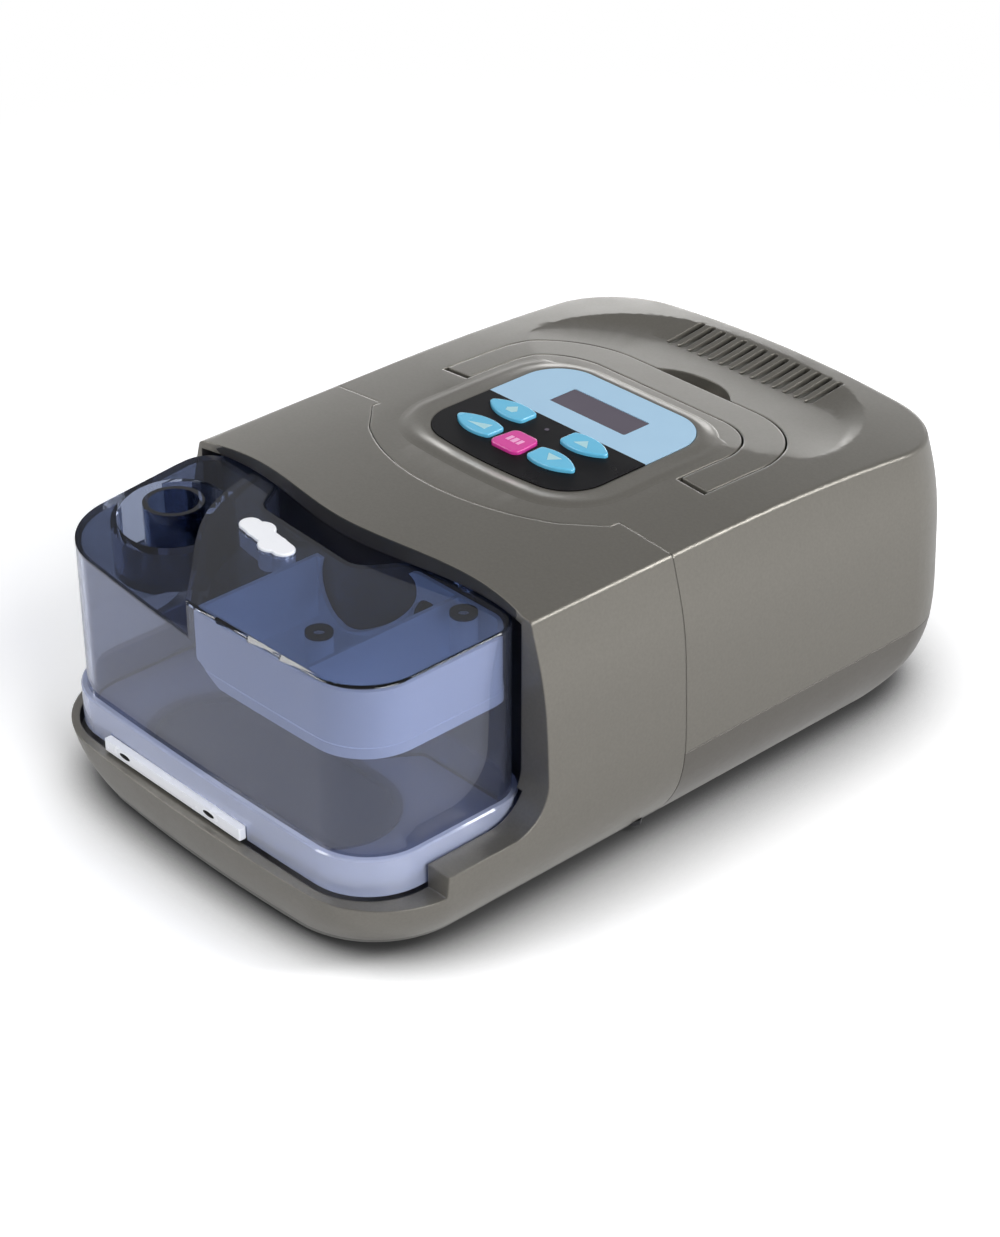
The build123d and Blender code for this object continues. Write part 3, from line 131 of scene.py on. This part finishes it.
def makeClearPlastic(name, look):
    material, tree, output = newMaterial(name)
    shader = addNode(tree, "ShaderNodeBsdfPrincipled", Base_Color=hexColour(look["tint"]),
                     Roughness=look["roughness"], IOR=look["ior"], Transmission_Weight=look["clear"],
                     Coat_Weight=look["gloss"], Coat_Roughness=skinRoughness)
    # lamp light passes the clear walls and lights what is inside: each of a wall's two faces takes half the tint
    passed = tuple(c ** 0.5 for c in hexColour(look["tint"]))
    through = addNode(tree, "ShaderNodeBsdfTransparent", Color=passed)
    path = addNode(tree, "ShaderNodeLightPath")
    mix = addNode(tree, "ShaderNodeMixShader", i0=path.outputs["Is Shadow Ray"], i1=shader.outputs[0],
                  i2=through.outputs[0])
    tree.links.new(mix.outputs[0], output.inputs["Surface"])
    return material


# how uneven the sheen of plain surfaces is, and how high the grain in them
plainSurface = {"wearPerMetre": 80.0, "uneven": 0.04, "smoothest": 0.02, "grainHeight": 0.1 * mm}


def makePlain(name, base, second, roughness, metallic=0.0, grain=400.0, bump=0.1, coat=0.0, specular=0.5):
    # moulded or machined surface with a fine grain and a slightly uneven sheen
    material, tree, output = newMaterial(name)
    place = objectPlace(tree)
    colour = tinted(tree, place, grain / 4, base, second)
    uneven = plainSurface["uneven"]
    low = max(plainSurface["smoothest"], roughness - uneven)
    rough = wear(tree, place, plainSurface["wearPerMetre"], low, roughness + uneven)
    noise = addNode(tree, "ShaderNodeTexNoise", Vector=place, Scale=grain, Detail=3.0)
    relief = addNode(tree, "ShaderNodeBump", Strength=bump, Distance=plainSurface["grainHeight"],
                     Height=noise.outputs["Fac"])
    shader = addNode(tree, "ShaderNodeBsdfPrincipled", Base_Color=colour, Metallic=metallic, Roughness=rough,
                     Coat_Weight=coat, Specular_IOR_Level=specular, Normal=relief.outputs["Normal"])
    tree.links.new(shader.outputs[0], output.inputs["Surface"])
    return material


paint = makeCasingPaint("silverGreyLacquer", casing)
# painted shade: the dark copy of the lacquer for the inside of the bay
bayShadePaint = makeCasingPaint("bayShadeDarkAbs", bayShadeSurface)
# painted shade: the darker copy of the lacquer for the lower case
shadedLowerPaint = makeCasingPaint("shadedLowerLacquer", shadedLowerCase)
darkAbs = makePlain("darkGreyAbs", "#504f4b", "#585752", 0.45)
wallPlastic = makeClearPlastic("smokeBluePolycarbonate", tankWall)
deckShadePlastic = makeClearPlastic("smokeBlueDeckShade", tankDeckShade)
flangePlastic = makeClearPlastic("smokeBlueFlange", tankFlange)
guidePlastic = makeClearPlastic("milkyPolypropylene", guideMilk)
blackRubber = makePlain("blackRubber", "#101012", "#17171a", 0.6)
whiteRubber = makePlain("whiteSilicone", "#e9ebf0", "#f2f3f6", 0.4, bump=0.03)
whitePlastic = makePlain("whiteAcetal", "#e6e8ee", "#eef0f4", 0.25, bump=0.03)
blackFilm = makePlain("blackPolyesterFilm", "#080709", "#0b0a0d", 0.3, bump=0.0, specular=0.1)
blueFilm = makePlain("paleBluePolyesterFilm", "#9dbfd8", "#a2c4dc", 0.34, bump=0.02, specular=0.3)
screenPane = makePlain("smokedAcrylicPane", "#4d4752", "#58515d", 0.18, grain=120.0, bump=0.0, specular=0.4)
keyBlue = makePlain("skyBlueKeyAbs", "#5ab2d6", "#66bbdc", 0.24, bump=0.02, coat=0.3)
keyPink = makePlain("magentaKeyAbs", "#cc3390", "#d33d98", 0.24, bump=0.02, coat=0.3)
iconSilver = makePlain("silverTealInk", "#a6d5dd", "#b4dde3", 0.35, metallic=0.2, bump=0.02)
iconRose = makePlain("paleRoseInk", "#ef9fd0", "#f3aed7", 0.35, metallic=0.2, bump=0.02)
aluminium = makePlain("turnedAluminium", "#b9babd", "#c4c5c8", 0.32, metallic=1.0)
steel = makePlain("zincSteel", "#9c9ea2", "#a8aaad", 0.34, metallic=1.0)
blackSteel = makePlain("blackenedSteel", "#3a3a3c", "#434345", 0.4, metallic=1.0)
plateSteel = makePlain("stainlessPlate", "#5d606e", "#616473", 0.5, metallic=0.6, grain=60.0, bump=0.0)
boardGreen = makePlain("solderMask", "#0f4a26", "#13552c", 0.4)
innerBlack = makePlain("blackInnerAbs", "#1d1d1f", "#232326", 0.5)
ventGrey = makePlain("midGreyAbs", "#4a4944", "#53524d", 0.55)
wheelWhite = makePlain("naturalNylon", "#cfcfc9", "#d8d8d2", 0.45)
foamGrey = makePlain("openCellFoam", "#27272a", "#303034", 0.9, grain=250.0, bump=0.8)
filterWhite = makePlain("filterFleece", "#d9d9d5", "#e4e4e0", 0.9, grain=300.0, bump=0.6)

finishes = {
    "main_cover": paint, "main_base": shadedLowerPaint, "carry_handle": paint, "humidifier_housing": paint,
    "humidifier_plate": darkAbs, "filter_cover": darkAbs,
    # painted shade: the hose tube takes the top's darker tint
    "tank_cover": wallPlastic, "outlet_tube": deckShadePlastic, "tank_base": flangePlastic, "air_guide": guidePlastic,
    "tank_gasket": blackRubber, "post_rings": blackRubber, "port_seal": blackRubber, "blower_mounts": blackRubber,
    "main_feet": blackRubber, "humidifier_feet": blackRubber,
    "filler_stopper": whiteRubber, "key_mat": whiteRubber, "release_latch": whitePlastic,
    "key_overlay": blackFilm, "display_overlay": blueFilm, "display_window": screenPane,
    "key_centre": keyPink, "key_upper_left": keyBlue, "key_lower_left": keyBlue,
    "key_lower_right": keyBlue, "key_upper_right": keyBlue,
    "heater_plate": aluminium, "tank_heat_plate": plateSteel, "heater_springs": steel, "case_screws": blackSteel,
    "humidifier_screws": blackSteel, "handle_pins": steel, "blower_shaft": steel, "card_socket": steel,
    "blower_motor": steel, "control_board": boardGreen, "main_board": boardGreen, "blower_wheel": wheelWhite,
    "inlet_foam": foamGrey, "air_filter": filterWhite,
}
# the other nodes are black: the panel's frame, what lies inside, and at the back the power inlet, the switch and
# the memory card
for name, node in nodes.items():
    node.data.materials.clear()
    node.data.materials.append(finishes.get(name, innerBlack))
print("materials set on", len(nodes), "nodes")


def bodyOf(name):
    return next(body for body, members in record["behaviour"]["bodies"].items() if name in members)


def newPiece(name, mesh, body, material=None):
    piece = bpy.data.objects.new(name, mesh)
    bpy.context.scene.collection.objects.link(piece)
    if material:
        mesh.materials.clear()
        mesh.materials.append(material)
    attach(piece, body)
    return piece


weldDistance = 1e-6
sharpEdge = math.radians(28.0)


def smoothCopy(name, second=None, choose=None):
    # the CAD mesh with its corners merged, its curved faces shaded smooth and its real edges kept sharp. The faces
    # that choose() picks get the second material
    mesh = nodes[name].data.copy()
    shape = bmesh.new()
    shape.from_mesh(mesh)
    bmesh.ops.remove_doubles(shape, verts=shape.verts, dist=weldDistance)
    shape.normal_update()
    for face in shape.faces:
        face.smooth = True
        if choose and choose(face.calc_center_median() / mm, face.normal):
            face.material_index = 1
    for edge in shape.edges:
        edge.smooth = len(edge.link_faces) == 2 and edge.calc_face_angle(0) < sharpEdge
    shape.to_mesh(mesh)
    shape.free()
    if second:
        mesh.materials.append(second)
    piece = newPiece(name + "_finish", mesh, bodyOf(name))
    weighted = piece.modifiers.new("even shading", "WEIGHTED_NORMAL")
    weighted.keep_sharp = True
    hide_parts(name)
    return piece


# a raised soft ring leads from the casing down to the panel: distances from the panel's outline and heights, in mm
panelFrame = {"gap": 0.25, "reach": 12.4, "foot": 109.3, "floor": 110.95, "flat": 1.6, "crest": 7.6, "ridge": 0.42,
              "sunk": 0.04, "edgeLow": 109.5, "lift": 0.02, "top": 112.55, "middleY": 26.6, "points": 180,
              "rings": 26, "leastSlope": 1, "margin": 0.4, "step": 0.2}
skyHigh = 130.0


def panelOutline(count):
    # the two overlays' common outline, as evenly spaced points in mm
    flat = [vert.co.xy / mm for name in ("key_overlay", "display_overlay") for vert in nodes[name].data.vertices]
    ring = [flat[i] for i in geometry.convex_hull_2d(flat)]
    lengths = [(ring[(i + 1) % len(ring)] - ring[i]).length for i in range(len(ring))]
    total, points, i, run = sum(lengths), [], 0, 0.0
    for k in range(count):
        goal = total * k / count
        while run + lengths[i] < goal:
            run += lengths[i]
            i += 1
        points.append(ring[i].lerp(ring[(i + 1) % len(ring)], (goal - run) / lengths[i]))
    return points


def smoothStep(value, start, end):
    part = min(max((value - start) / (end - start), 0), 1)
    return part * part * (3 - 2 * part)


def coverSurface():
    # the CAD cover's top as a tree that rays are cast at, in mm
    cover = nodes["main_cover"].data
    corners = [vert.co / mm for vert in cover.vertices]
    return bvhtree.BVHTree.FromPolygons(corners, [tuple(face.vertices) for face in cover.polygons])


def heightAt(surface, x, y, other):
    hit = surface.ray_cast(Vector((x, y, skyHigh)), Vector((0, 0, -1)))[0]
    return hit.z if hit else other


def makePanelFrame():
    look = panelFrame
    surface = coverSurface()
    points = panelOutline(look["points"])
    count = len(points)
    shape = bmesh.new()
    columns = []
    for i in range(count):
        along = (points[(i + 2) % count] - points[i - 2]).normalized()
        out = Vector((along.y, -along.x))
        if out.dot(points[i] - Vector((0, look["middleY"]))) < 0:
            out = -out
        # the ring draws in where the casing falls away beyond it
        reach = look["reach"]
        while reach > look["crest"] + look["leastSlope"]:
            if heightAt(surface, *(points[i] + out * (reach + look["margin"])), 0.0) >= look["edgeLow"]:
                break
            reach -= look["step"]
        rim = heightAt(surface, *(points[i] + out * reach), 0.0)
        column = [shape.verts.new(Vector((*(points[i] + out * look["gap"]), look["foot"])) * mm)]
        for j in range(look["rings"] + 1):
            distance = look["gap"] + (reach - look["gap"]) * j / look["rings"]
            place = points[i] + out * distance
            up = smoothStep(distance, look["flat"], look["crest"])
            down = smoothStep(distance, look["crest"], reach)
            height = look["floor"] + (rim + look["ridge"] - look["floor"]) * up - look["ridge"] * down
            if distance > look["crest"]:
                height = max(height, heightAt(surface, *place, 0.0) + look["lift"])
            if j == look["rings"]:
                height = rim - look["sunk"]
            column.append(shape.verts.new(Vector((*place, min(height, look["top"]))) * mm))
        columns.append(column)
    for i in range(count):
        first, second = columns[i], columns[(i + 1) % count]
        for j in range(len(first) - 1):
            shape.faces.new((first[j], second[j], second[j + 1], first[j + 1])).smooth = True
    bmesh.ops.recalc_face_normals(shape, faces=shape.faces)
    if sum(face.normal.z for face in shape.faces) < 0:
        bmesh.ops.reverse_faces(shape, faces=shape.faces)
    mesh = bpy.data.meshes.new("panel_ring")
    shape.to_mesh(mesh)
    shape.free()
    newPiece("panel_ring", mesh, "blower_unit", paint)


# where the tank's bay, the cheeks beside it, the tank's top and the hose cup in it lie, in mm, and how much of a
# face's normal has to point up, to the middle or to the front
bay = {"floor": 19, "rear": -52, "front": -139, "halfWidth": 92, "cheekX": 78, "cheekRear": -66, "up": 0.5,
       "toMiddle": 0.4, "toFront": 0.1}
deck = {"low": 92, "cupX": -62, "cupY": -102.5, "cupReach": 21.5, "cupLow": 76, "up": 0.5}


def inBay(middle, normal):
    # faces that look into the tank's bay, which get the dark copy of the lacquer as painted shade
    if middle.z < bay["floor"] or normal.z > bay["up"] or not bay["front"] <= middle.y <= bay["rear"]:
        return False
    inside = abs(middle.x) < bay["halfWidth"]
    if abs(middle.x) > bay["cheekX"] and middle.y < bay["cheekRear"]:
        return inside and normal.x * middle.x < 0 and abs(normal.x) > bay["toMiddle"]
    return inside and normal.y < -bay["toFront"]


def onDeck(middle, normal):
    # the tank's clear top, and the hose cup in it, get the darker tint as painted shade, since they look darker
    # than its cloudy walls
    fromCup = math.hypot(middle.x - deck["cupX"], middle.y - deck["cupY"])
    inCup = fromCup < deck["cupReach"] and middle.z > deck["cupLow"]
    return inCup or (abs(normal.z) > deck["up"] and middle.z > deck["low"])


smoothCopy("main_cover")
makePanelFrame()
smoothCopy("humidifier_housing", second=bayShadePaint, choose=inBay)
smoothCopy("tank_cover", second=deckShadePlastic, choose=onDeck)
for name in ("main_base", "humidifier_plate", "carry_handle", "outlet_tube", "tank_base", "air_guide",
             "filler_stopper", "release_latch", "key_overlay", "display_overlay", "post_rings", "key_centre",
             "key_upper_left", "key_lower_left", "key_lower_right", "key_upper_right", "filter_cover"):
    smoothCopy(name)
print("smooth copies made")


def plateFrom(shape, outline, low, high):
    # a flat plate with a closed side wall from a ring of points in mm
    rings = [[shape.verts.new((x * mm, y * mm, z * mm)) for x, y in outline] for z in (low, high)]
    shape.faces.new(rings[1])
    shape.faces.new(list(reversed(rings[0])))
    for i in range(len(outline)):
        j = (i + 1) % len(outline)
        shape.faces.new((rings[0][i], rings[0][j], rings[1][j], rings[1][i]))


def ringOf(x, y, radius, count=20):
    angles = [2 * math.pi * i / count for i in range(count)]
    return [(x + radius * math.cos(angle), y + radius * math.sin(angle)) for angle in angles]


# small printed signs on the keys: a drop, a ramp, three bars, and up and down arrows
keySigns = {"keyTop": 112.6, "rooted": 0.4, "thick": 0.06, "signs": {
    "key_upper_left": [[(-21.0, 24.6), (-23.6, 21.6), (-22.6, 19.8), (-19.4, 19.8), (-18.4, 21.6)]],
    "key_lower_left": [[(-25.4, 3.6), (-16.6, 3.6), (-16.6, 7.8)]],
    "key_centre": [[(-6.0, 7.4), (-6.0, 4.0), (-4.4, 4.0), (-4.4, 7.4)],
                   [(-0.8, 7.4), (-0.8, 4.0), (0.8, 4.0), (0.8, 7.4)],
                   [(-3.6, 7.4), (-3.6, 4.0), (-1.6, 4.0), (-1.6, 7.4)]],
    "key_upper_right": [[(12.6, 20.0), (19.4, 20.0), (16.0, 24.2)]],
    "key_lower_right": [[(12.6, 7.8), (16.0, 3.6), (19.4, 7.8)]]}}


def makeKeySigns():
    for name, outlines in keySigns["signs"].items():
        shape = bmesh.new()
        for outline in outlines:
            top = keySigns["keyTop"]
            plateFrom(shape, outline, top - keySigns["rooted"], top + keySigns["thick"])
        bmesh.ops.recalc_face_normals(shape, faces=shape.faces)
        mesh = bpy.data.meshes.new(name + "_sign")
        shape.to_mesh(mesh)
        shape.free()
        ink = iconRose if name == "key_centre" else iconSilver
        newPiece(name + "_sign", mesh, bodyOf(name), ink)


makeKeySigns()

# the small lamp beside the keys, in mm
statusLamp = {"x": -2.6, "y": 21.5, "radius": 0.9, "top": 111.35, "deep": 1.5}


def makeStatusLamp():
    look = statusLamp
    shape = bmesh.new()
    plateFrom(shape, ringOf(look["x"], look["y"], look["radius"]), look["top"] - look["deep"], look["top"])
    mesh = bpy.data.meshes.new("status_lamp")
    shape.to_mesh(mesh)
    shape.free()
    newPiece("status_lamp", mesh, "blower_unit", screenPane)


makeStatusLamp()
print("key signs and lamp made")


def geometryTree(name):
    tree = bpy.data.node_groups.new(name, "GeometryNodeTree")
    tree.interface.new_socket("Geometry", in_out="INPUT", socket_type="NodeSocketGeometry")
    tree.interface.new_socket("Geometry", in_out="OUTPUT", socket_type="NodeSocketGeometry")
    return tree


def setInput(modifier, name, value):
    item = next(i for i in modifier.node_group.interface.items_tree if i.item_type == "SOCKET" and i.name == name)
    modifier[item.identifier] = value


def bakeTree(name, points, tree, settings, body):
    # runs the tree on a mesh of loose points and keeps the result as a plain mesh
    seed = bpy.data.meshes.new(name + "_points")
    seed.from_pydata([tuple(value * mm for value in point) for point in points], [], [])
    holder = bpy.data.objects.new(name + "_holder", seed)
    bpy.context.scene.collection.objects.link(holder)
    modifier = holder.modifiers.new("repeat", "NODES")
    modifier.node_group = tree
    for key, value in settings.items():
        setInput(modifier, key, value)
    bpy.context.view_layer.update()
    made = bpy.data.meshes.new_from_object(holder.evaluated_get(bpy.context.evaluated_depsgraph_get()))
    bpy.data.objects.remove(holder)
    made.name = name
    newPiece(name, made, body)


def endTree(tree, instances, material):
    real = addNode(tree, "GeometryNodeRealizeInstances", Geometry=instances.outputs[0])
    done = addNode(tree, "GeometryNodeSetMaterial", Geometry=real.outputs[0], Material=material)
    addNode(tree, "NodeGroupOutput", i0=done.outputs[0])


# grey louvre blades close under the top's air slots, in mm, slanted like the slots
ventBlades = {"count": 14, "pitch": 5.5, "y": 129.5, "drop": 2.2, "length": 21.0, "width": 4.4, "height": 0.8,
              "slant": math.radians(6.0), "otherHeight": 103.0}


def blockTree(name, material):
    # a block on every point, turned by one angle
    tree = geometryTree(name)
    for label, kind in (("Size", "NodeSocketVector"), ("Turn", "NodeSocketVector")):
        tree.interface.new_socket(label, in_out="INPUT", socket_type=kind)
    source = addNode(tree, "NodeGroupInput")
    block = addNode(tree, "GeometryNodeMeshCube", Size=source.outputs["Size"])
    turn = addNode(tree, "FunctionNodeEulerToRotation", Euler=source.outputs["Turn"])
    copies = addNode(tree, "GeometryNodeInstanceOnPoints", Points=source.outputs["Geometry"],
                     Instance=block.outputs["Mesh"], Rotation=turn.outputs[0])
    endTree(tree, copies, material)
    return tree


def ventPlaces(look):
    # each blade lies under its slot, as deep as the rib beside it is high
    surface = coverSurface()
    places = []
    for i in range(look["count"]):
        x = (i - (look["count"] - 1) / 2) * look["pitch"]
        rib = heightAt(surface, x + look["pitch"] / 2, look["y"], look["otherHeight"])
        places.append((x, look["y"], rib - look["drop"]))
    return places


def makeVentBlades():
    look = ventBlades
    size = tuple(look[key] * mm for key in ("width", "length", "height"))
    bakeTree("vent_blades", ventPlaces(look), blockTree("ventBlades", ventGrey),
             {"Size": size, "Turn": (0.0, 0.0, look["slant"])}, "blower_unit")


makeVentBlades()

# two dark sight lenses let into the release latch, in mm
latchLenses = {"places": ((-40.1, 27.6), (7.2, 27.6)), "face": -146.4, "length": 6.0, "height": 1.9, "deep": 0.5}


def lensTree(material):
    tree = geometryTree("latchLens")
    tree.interface.new_socket("Scale", in_out="INPUT", socket_type="NodeSocketVector")
    source = addNode(tree, "NodeGroupInput")
    ball = addNode(tree, "GeometryNodeMeshUVSphere", Segments=20, Rings=10, Radius=0.5)
    copies = addNode(tree, "GeometryNodeInstanceOnPoints", Points=source.outputs["Geometry"],
                     Instance=ball.outputs["Mesh"], Scale=source.outputs["Scale"])
    endTree(tree, copies, material)
    return tree


def makeLatchLenses():
    look = latchLenses
    size = tuple(look[key] * mm for key in ("length", "deep", "height"))
    bakeTree("latch_lenses", [(x, look["face"], z) for x, z in look["places"]], lensTree(blackFilm),
             {"Scale": size}, "latch")


makeLatchLenses()

# painted shade: dark crosses on the screw heads under the two bases stand for the shade in their cross recesses, in
# mm
screwCrossShade = {"long": 3.4, "wide": 0.8, "deep": 0.1, "secondBar": 0.9, "places": {
    "case_screws": ((-78, 0), (78, 0), (-74, 124), (74, 124)),
    "humidifier_screws": ((-84, -18), (84, -18), (-60, -122), (60, -122))}}


def crossShadeTree(material):
    tree = geometryTree("screwCrossShade")
    for label in ("Bar", "Cross bar"):
        tree.interface.new_socket(label, in_out="INPUT", socket_type="NodeSocketVector")
    source = addNode(tree, "NodeGroupInput")
    joined = addNode(tree, "GeometryNodeJoinGeometry")
    for label in ("Bar", "Cross bar"):
        bar = addNode(tree, "GeometryNodeMeshCube", Size=source.outputs[label])
        tree.links.new(bar.outputs["Mesh"], joined.inputs[0])
    copies = addNode(tree, "GeometryNodeInstanceOnPoints", Points=source.outputs["Geometry"],
                     Instance=joined.outputs[0])
    endTree(tree, copies, material)
    return tree


def makeScrewCrossShades():
    look = screwCrossShade
    long, wide, deep = (look[key] * mm for key in ("long", "wide", "deep"))
    tree = crossShadeTree(innerBlack)
    for name, places in look["places"].items():
        face = min(vert.co.z for vert in nodes[name].data.vertices) / mm
        # the second bar is less deep, so that the two bars' faces don't lie in one plane
        bars = {"Bar": (long, wide, deep), "Cross bar": (wide, long, deep * look["secondBar"])}
        bakeTree(name + "_crossShade", [(x, y, face) for x, y in places], tree, bars, bodyOf(name))


makeScrewCrossShades()
print("vent blades, latch lenses and screw crosses made")


# a floor in metres: its soft contact shadow fades to white, and far from the machine it is the white background
stage = {"half": 6.0, "bounce": (0.8, 0.8, 0.81, 1), "shadowReach": 0.06, "closed": 0.25, "open": 0.95,
         "dark": 0.08, "bright": 1.3, "nearWhite": 0.35, "farWhite": 0.7}


def makeStage():
    half = stage["half"]
    mesh = bpy.data.meshes.new("floor")
    mesh.from_pydata([(-half, -half, 0), (half, -half, 0), (half, half, 0), (-half, half, 0)], [], [(0, 1, 2, 3)])
    floor = bpy.data.objects.new("floor", mesh)
    bpy.context.scene.collection.objects.link(floor)
    material, tree, output = newMaterial("paleFloor")
    plain = addNode(tree, "ShaderNodeBsdfDiffuse", Color=stage["bounce"])
    near = addNode(tree, "ShaderNodeAmbientOcclusion", {"samples": 32}, Distance=stage["shadowReach"])
    fade = addNode(tree, "ShaderNodeMapRange", {"interpolation_type": "SMOOTHSTEP"}, Value=near.outputs["AO"],
                   From_Min=stage["closed"], From_Max=stage["open"], To_Min=stage["dark"], To_Max=stage["bright"])
    tone = addNode(tree, "ShaderNodeCombineColor", i0=fade.outputs[0], i1=fade.outputs[0], i2=fade.outputs[0])
    shown = addNode(tree, "ShaderNodeBsdfDiffuse", Color=tone.outputs[0])
    path = addNode(tree, "ShaderNodeLightPath")
    seen = addNode(tree, "ShaderNodeMath", {"operation": "MAXIMUM"}, i0=path.outputs["Is Camera Ray"],
                   i1=path.outputs["Is Transmission Ray"])
    reach = addNode(tree, "ShaderNodeVectorMath", {"operation": "LENGTH"}, i0=objectPlace(tree))
    far = addNode(tree, "ShaderNodeMapRange", {"interpolation_type": "SMOOTHSTEP"}, Value=reach.outputs["Value"],
                  From_Min=stage["nearWhite"], From_Max=stage["farWhite"])
    white = addNode(tree, "ShaderNodeEmission", Color=(1, 1, 1, 1), Strength=1.0)
    shown = addNode(tree, "ShaderNodeMixShader", i0=far.outputs["Result"], i1=shown.outputs[0], i2=white.outputs[0])
    mix = addNode(tree, "ShaderNodeMixShader", i0=seen.outputs[0], i1=plain.outputs[0], i2=shown.outputs[0])
    # from below the floor doesn't hide the machine
    side = addNode(tree, "ShaderNodeNewGeometry").outputs["Backfacing"]
    clear = addNode(tree, "ShaderNodeBsdfTransparent")
    mix = addNode(tree, "ShaderNodeMixShader", i0=side, i1=mix.outputs[0], i2=clear.outputs[0])
    tree.links.new(mix.outputs[0], output.inputs["Surface"])
    mesh.materials.append(material)


# the world: brighter near the horizon than overhead; "turn" is the height where it stops dimming
sky = {"colour": (0.96, 0.97, 1.0, 1), "low": 0.72, "high": 0.26, "turn": 0.7}


def makeWorld():
    world = bpy.data.worlds.new("studio")
    bpy.context.scene.world = world
    world.use_nodes = True
    tree = world.node_tree
    tree.nodes.clear()
    output = addNode(tree, "ShaderNodeOutputWorld")
    toward = addNode(tree, "ShaderNodeSeparateXYZ", Vector=addNode(tree, "ShaderNodeTexCoord").outputs["Generated"])
    level = addNode(tree, "ShaderNodeMapRange", Value=toward.outputs["Z"], From_Min=0.0, From_Max=sky["turn"],
                    To_Min=sky["low"], To_Max=sky["high"])
    dim = addNode(tree, "ShaderNodeBackground", Color=sky["colour"], Strength=level.outputs["Result"])
    white = addNode(tree, "ShaderNodeBackground", Color=(1, 1, 1, 1), Strength=1.0)
    path = addNode(tree, "ShaderNodeLightPath")
    mix = addNode(tree, "ShaderNodeMixShader", i0=path.outputs["Is Camera Ray"], i1=dim.outputs[0],
                  i2=white.outputs[0])
    tree.links.new(mix.outputs[0], output.inputs["Surface"])


# softboxes: name, place, aim and size in metres, power in watts
lamps = (
    ("rearLeftBox", (-1.3, 1.3, 0.22), (0, 0, 0.08), (1.8, 0.3), 7.5),
    ("rightRearBox", (0.95, 1.0, 0.95), (0, 0, 0.05), (0.4, 0.6), 12),
    ("leftFrontBox", (-0.95, -0.9, 1.05), (0, 0, 0.05), (1.5, 0.3), 12.5),
    ("rightFill", (1.5, -0.3, 0.7), (0, 0, 0.05), (0.9, 0.6), 18.5),
)


def addSoftbox(name, place, aim, size, power):
    light = bpy.data.lights.new(name, "AREA")
    light.shape = "RECTANGLE"
    light.size, light.size_y = size
    light.energy = power
    lamp = bpy.data.objects.new(name, light)
    lamp.location = place
    lamp.rotation_euler = (Vector(aim) - Vector(place)).to_track_quat("-Z", "Y").to_euler()
    bpy.context.scene.collection.objects.link(lamp)


# the photograph's view: turned right of the front, looking down, with a long lens. Place in metres, angles in
# degrees, sensor in mm; focal length and height are in the photograph's pixels
viewpoint = {"place": (0.643224, -0.606036, 0.576734), "turn": 46.9, "lift": 31.2, "sensor": 36,
             "focalLength": 2800, "height": 1237}


def makeCamera():
    data = bpy.data.cameras.new("camera")
    data.sensor_width = viewpoint["sensor"]
    data.lens = viewpoint["sensor"] * viewpoint["focalLength"] / viewpoint["height"]
    camera = bpy.data.objects.new("camera", data)
    turn, lift = math.radians(viewpoint["turn"]), math.radians(viewpoint["lift"])
    back = Vector((math.sin(turn) * math.cos(lift), -math.cos(turn) * math.cos(lift), math.sin(lift)))
    camera.location = viewpoint["place"]
    camera.rotation_euler = back.to_track_quat("Z", "Y").to_euler()
    bpy.context.scene.collection.objects.link(camera)
    bpy.context.scene.camera = camera


makeStage()
makeWorld()
for lamp in lamps:
    addSoftbox(*lamp)
makeCamera()
bpy.context.scene.view_settings.view_transform = "Standard"
print("stage, light and camera set")
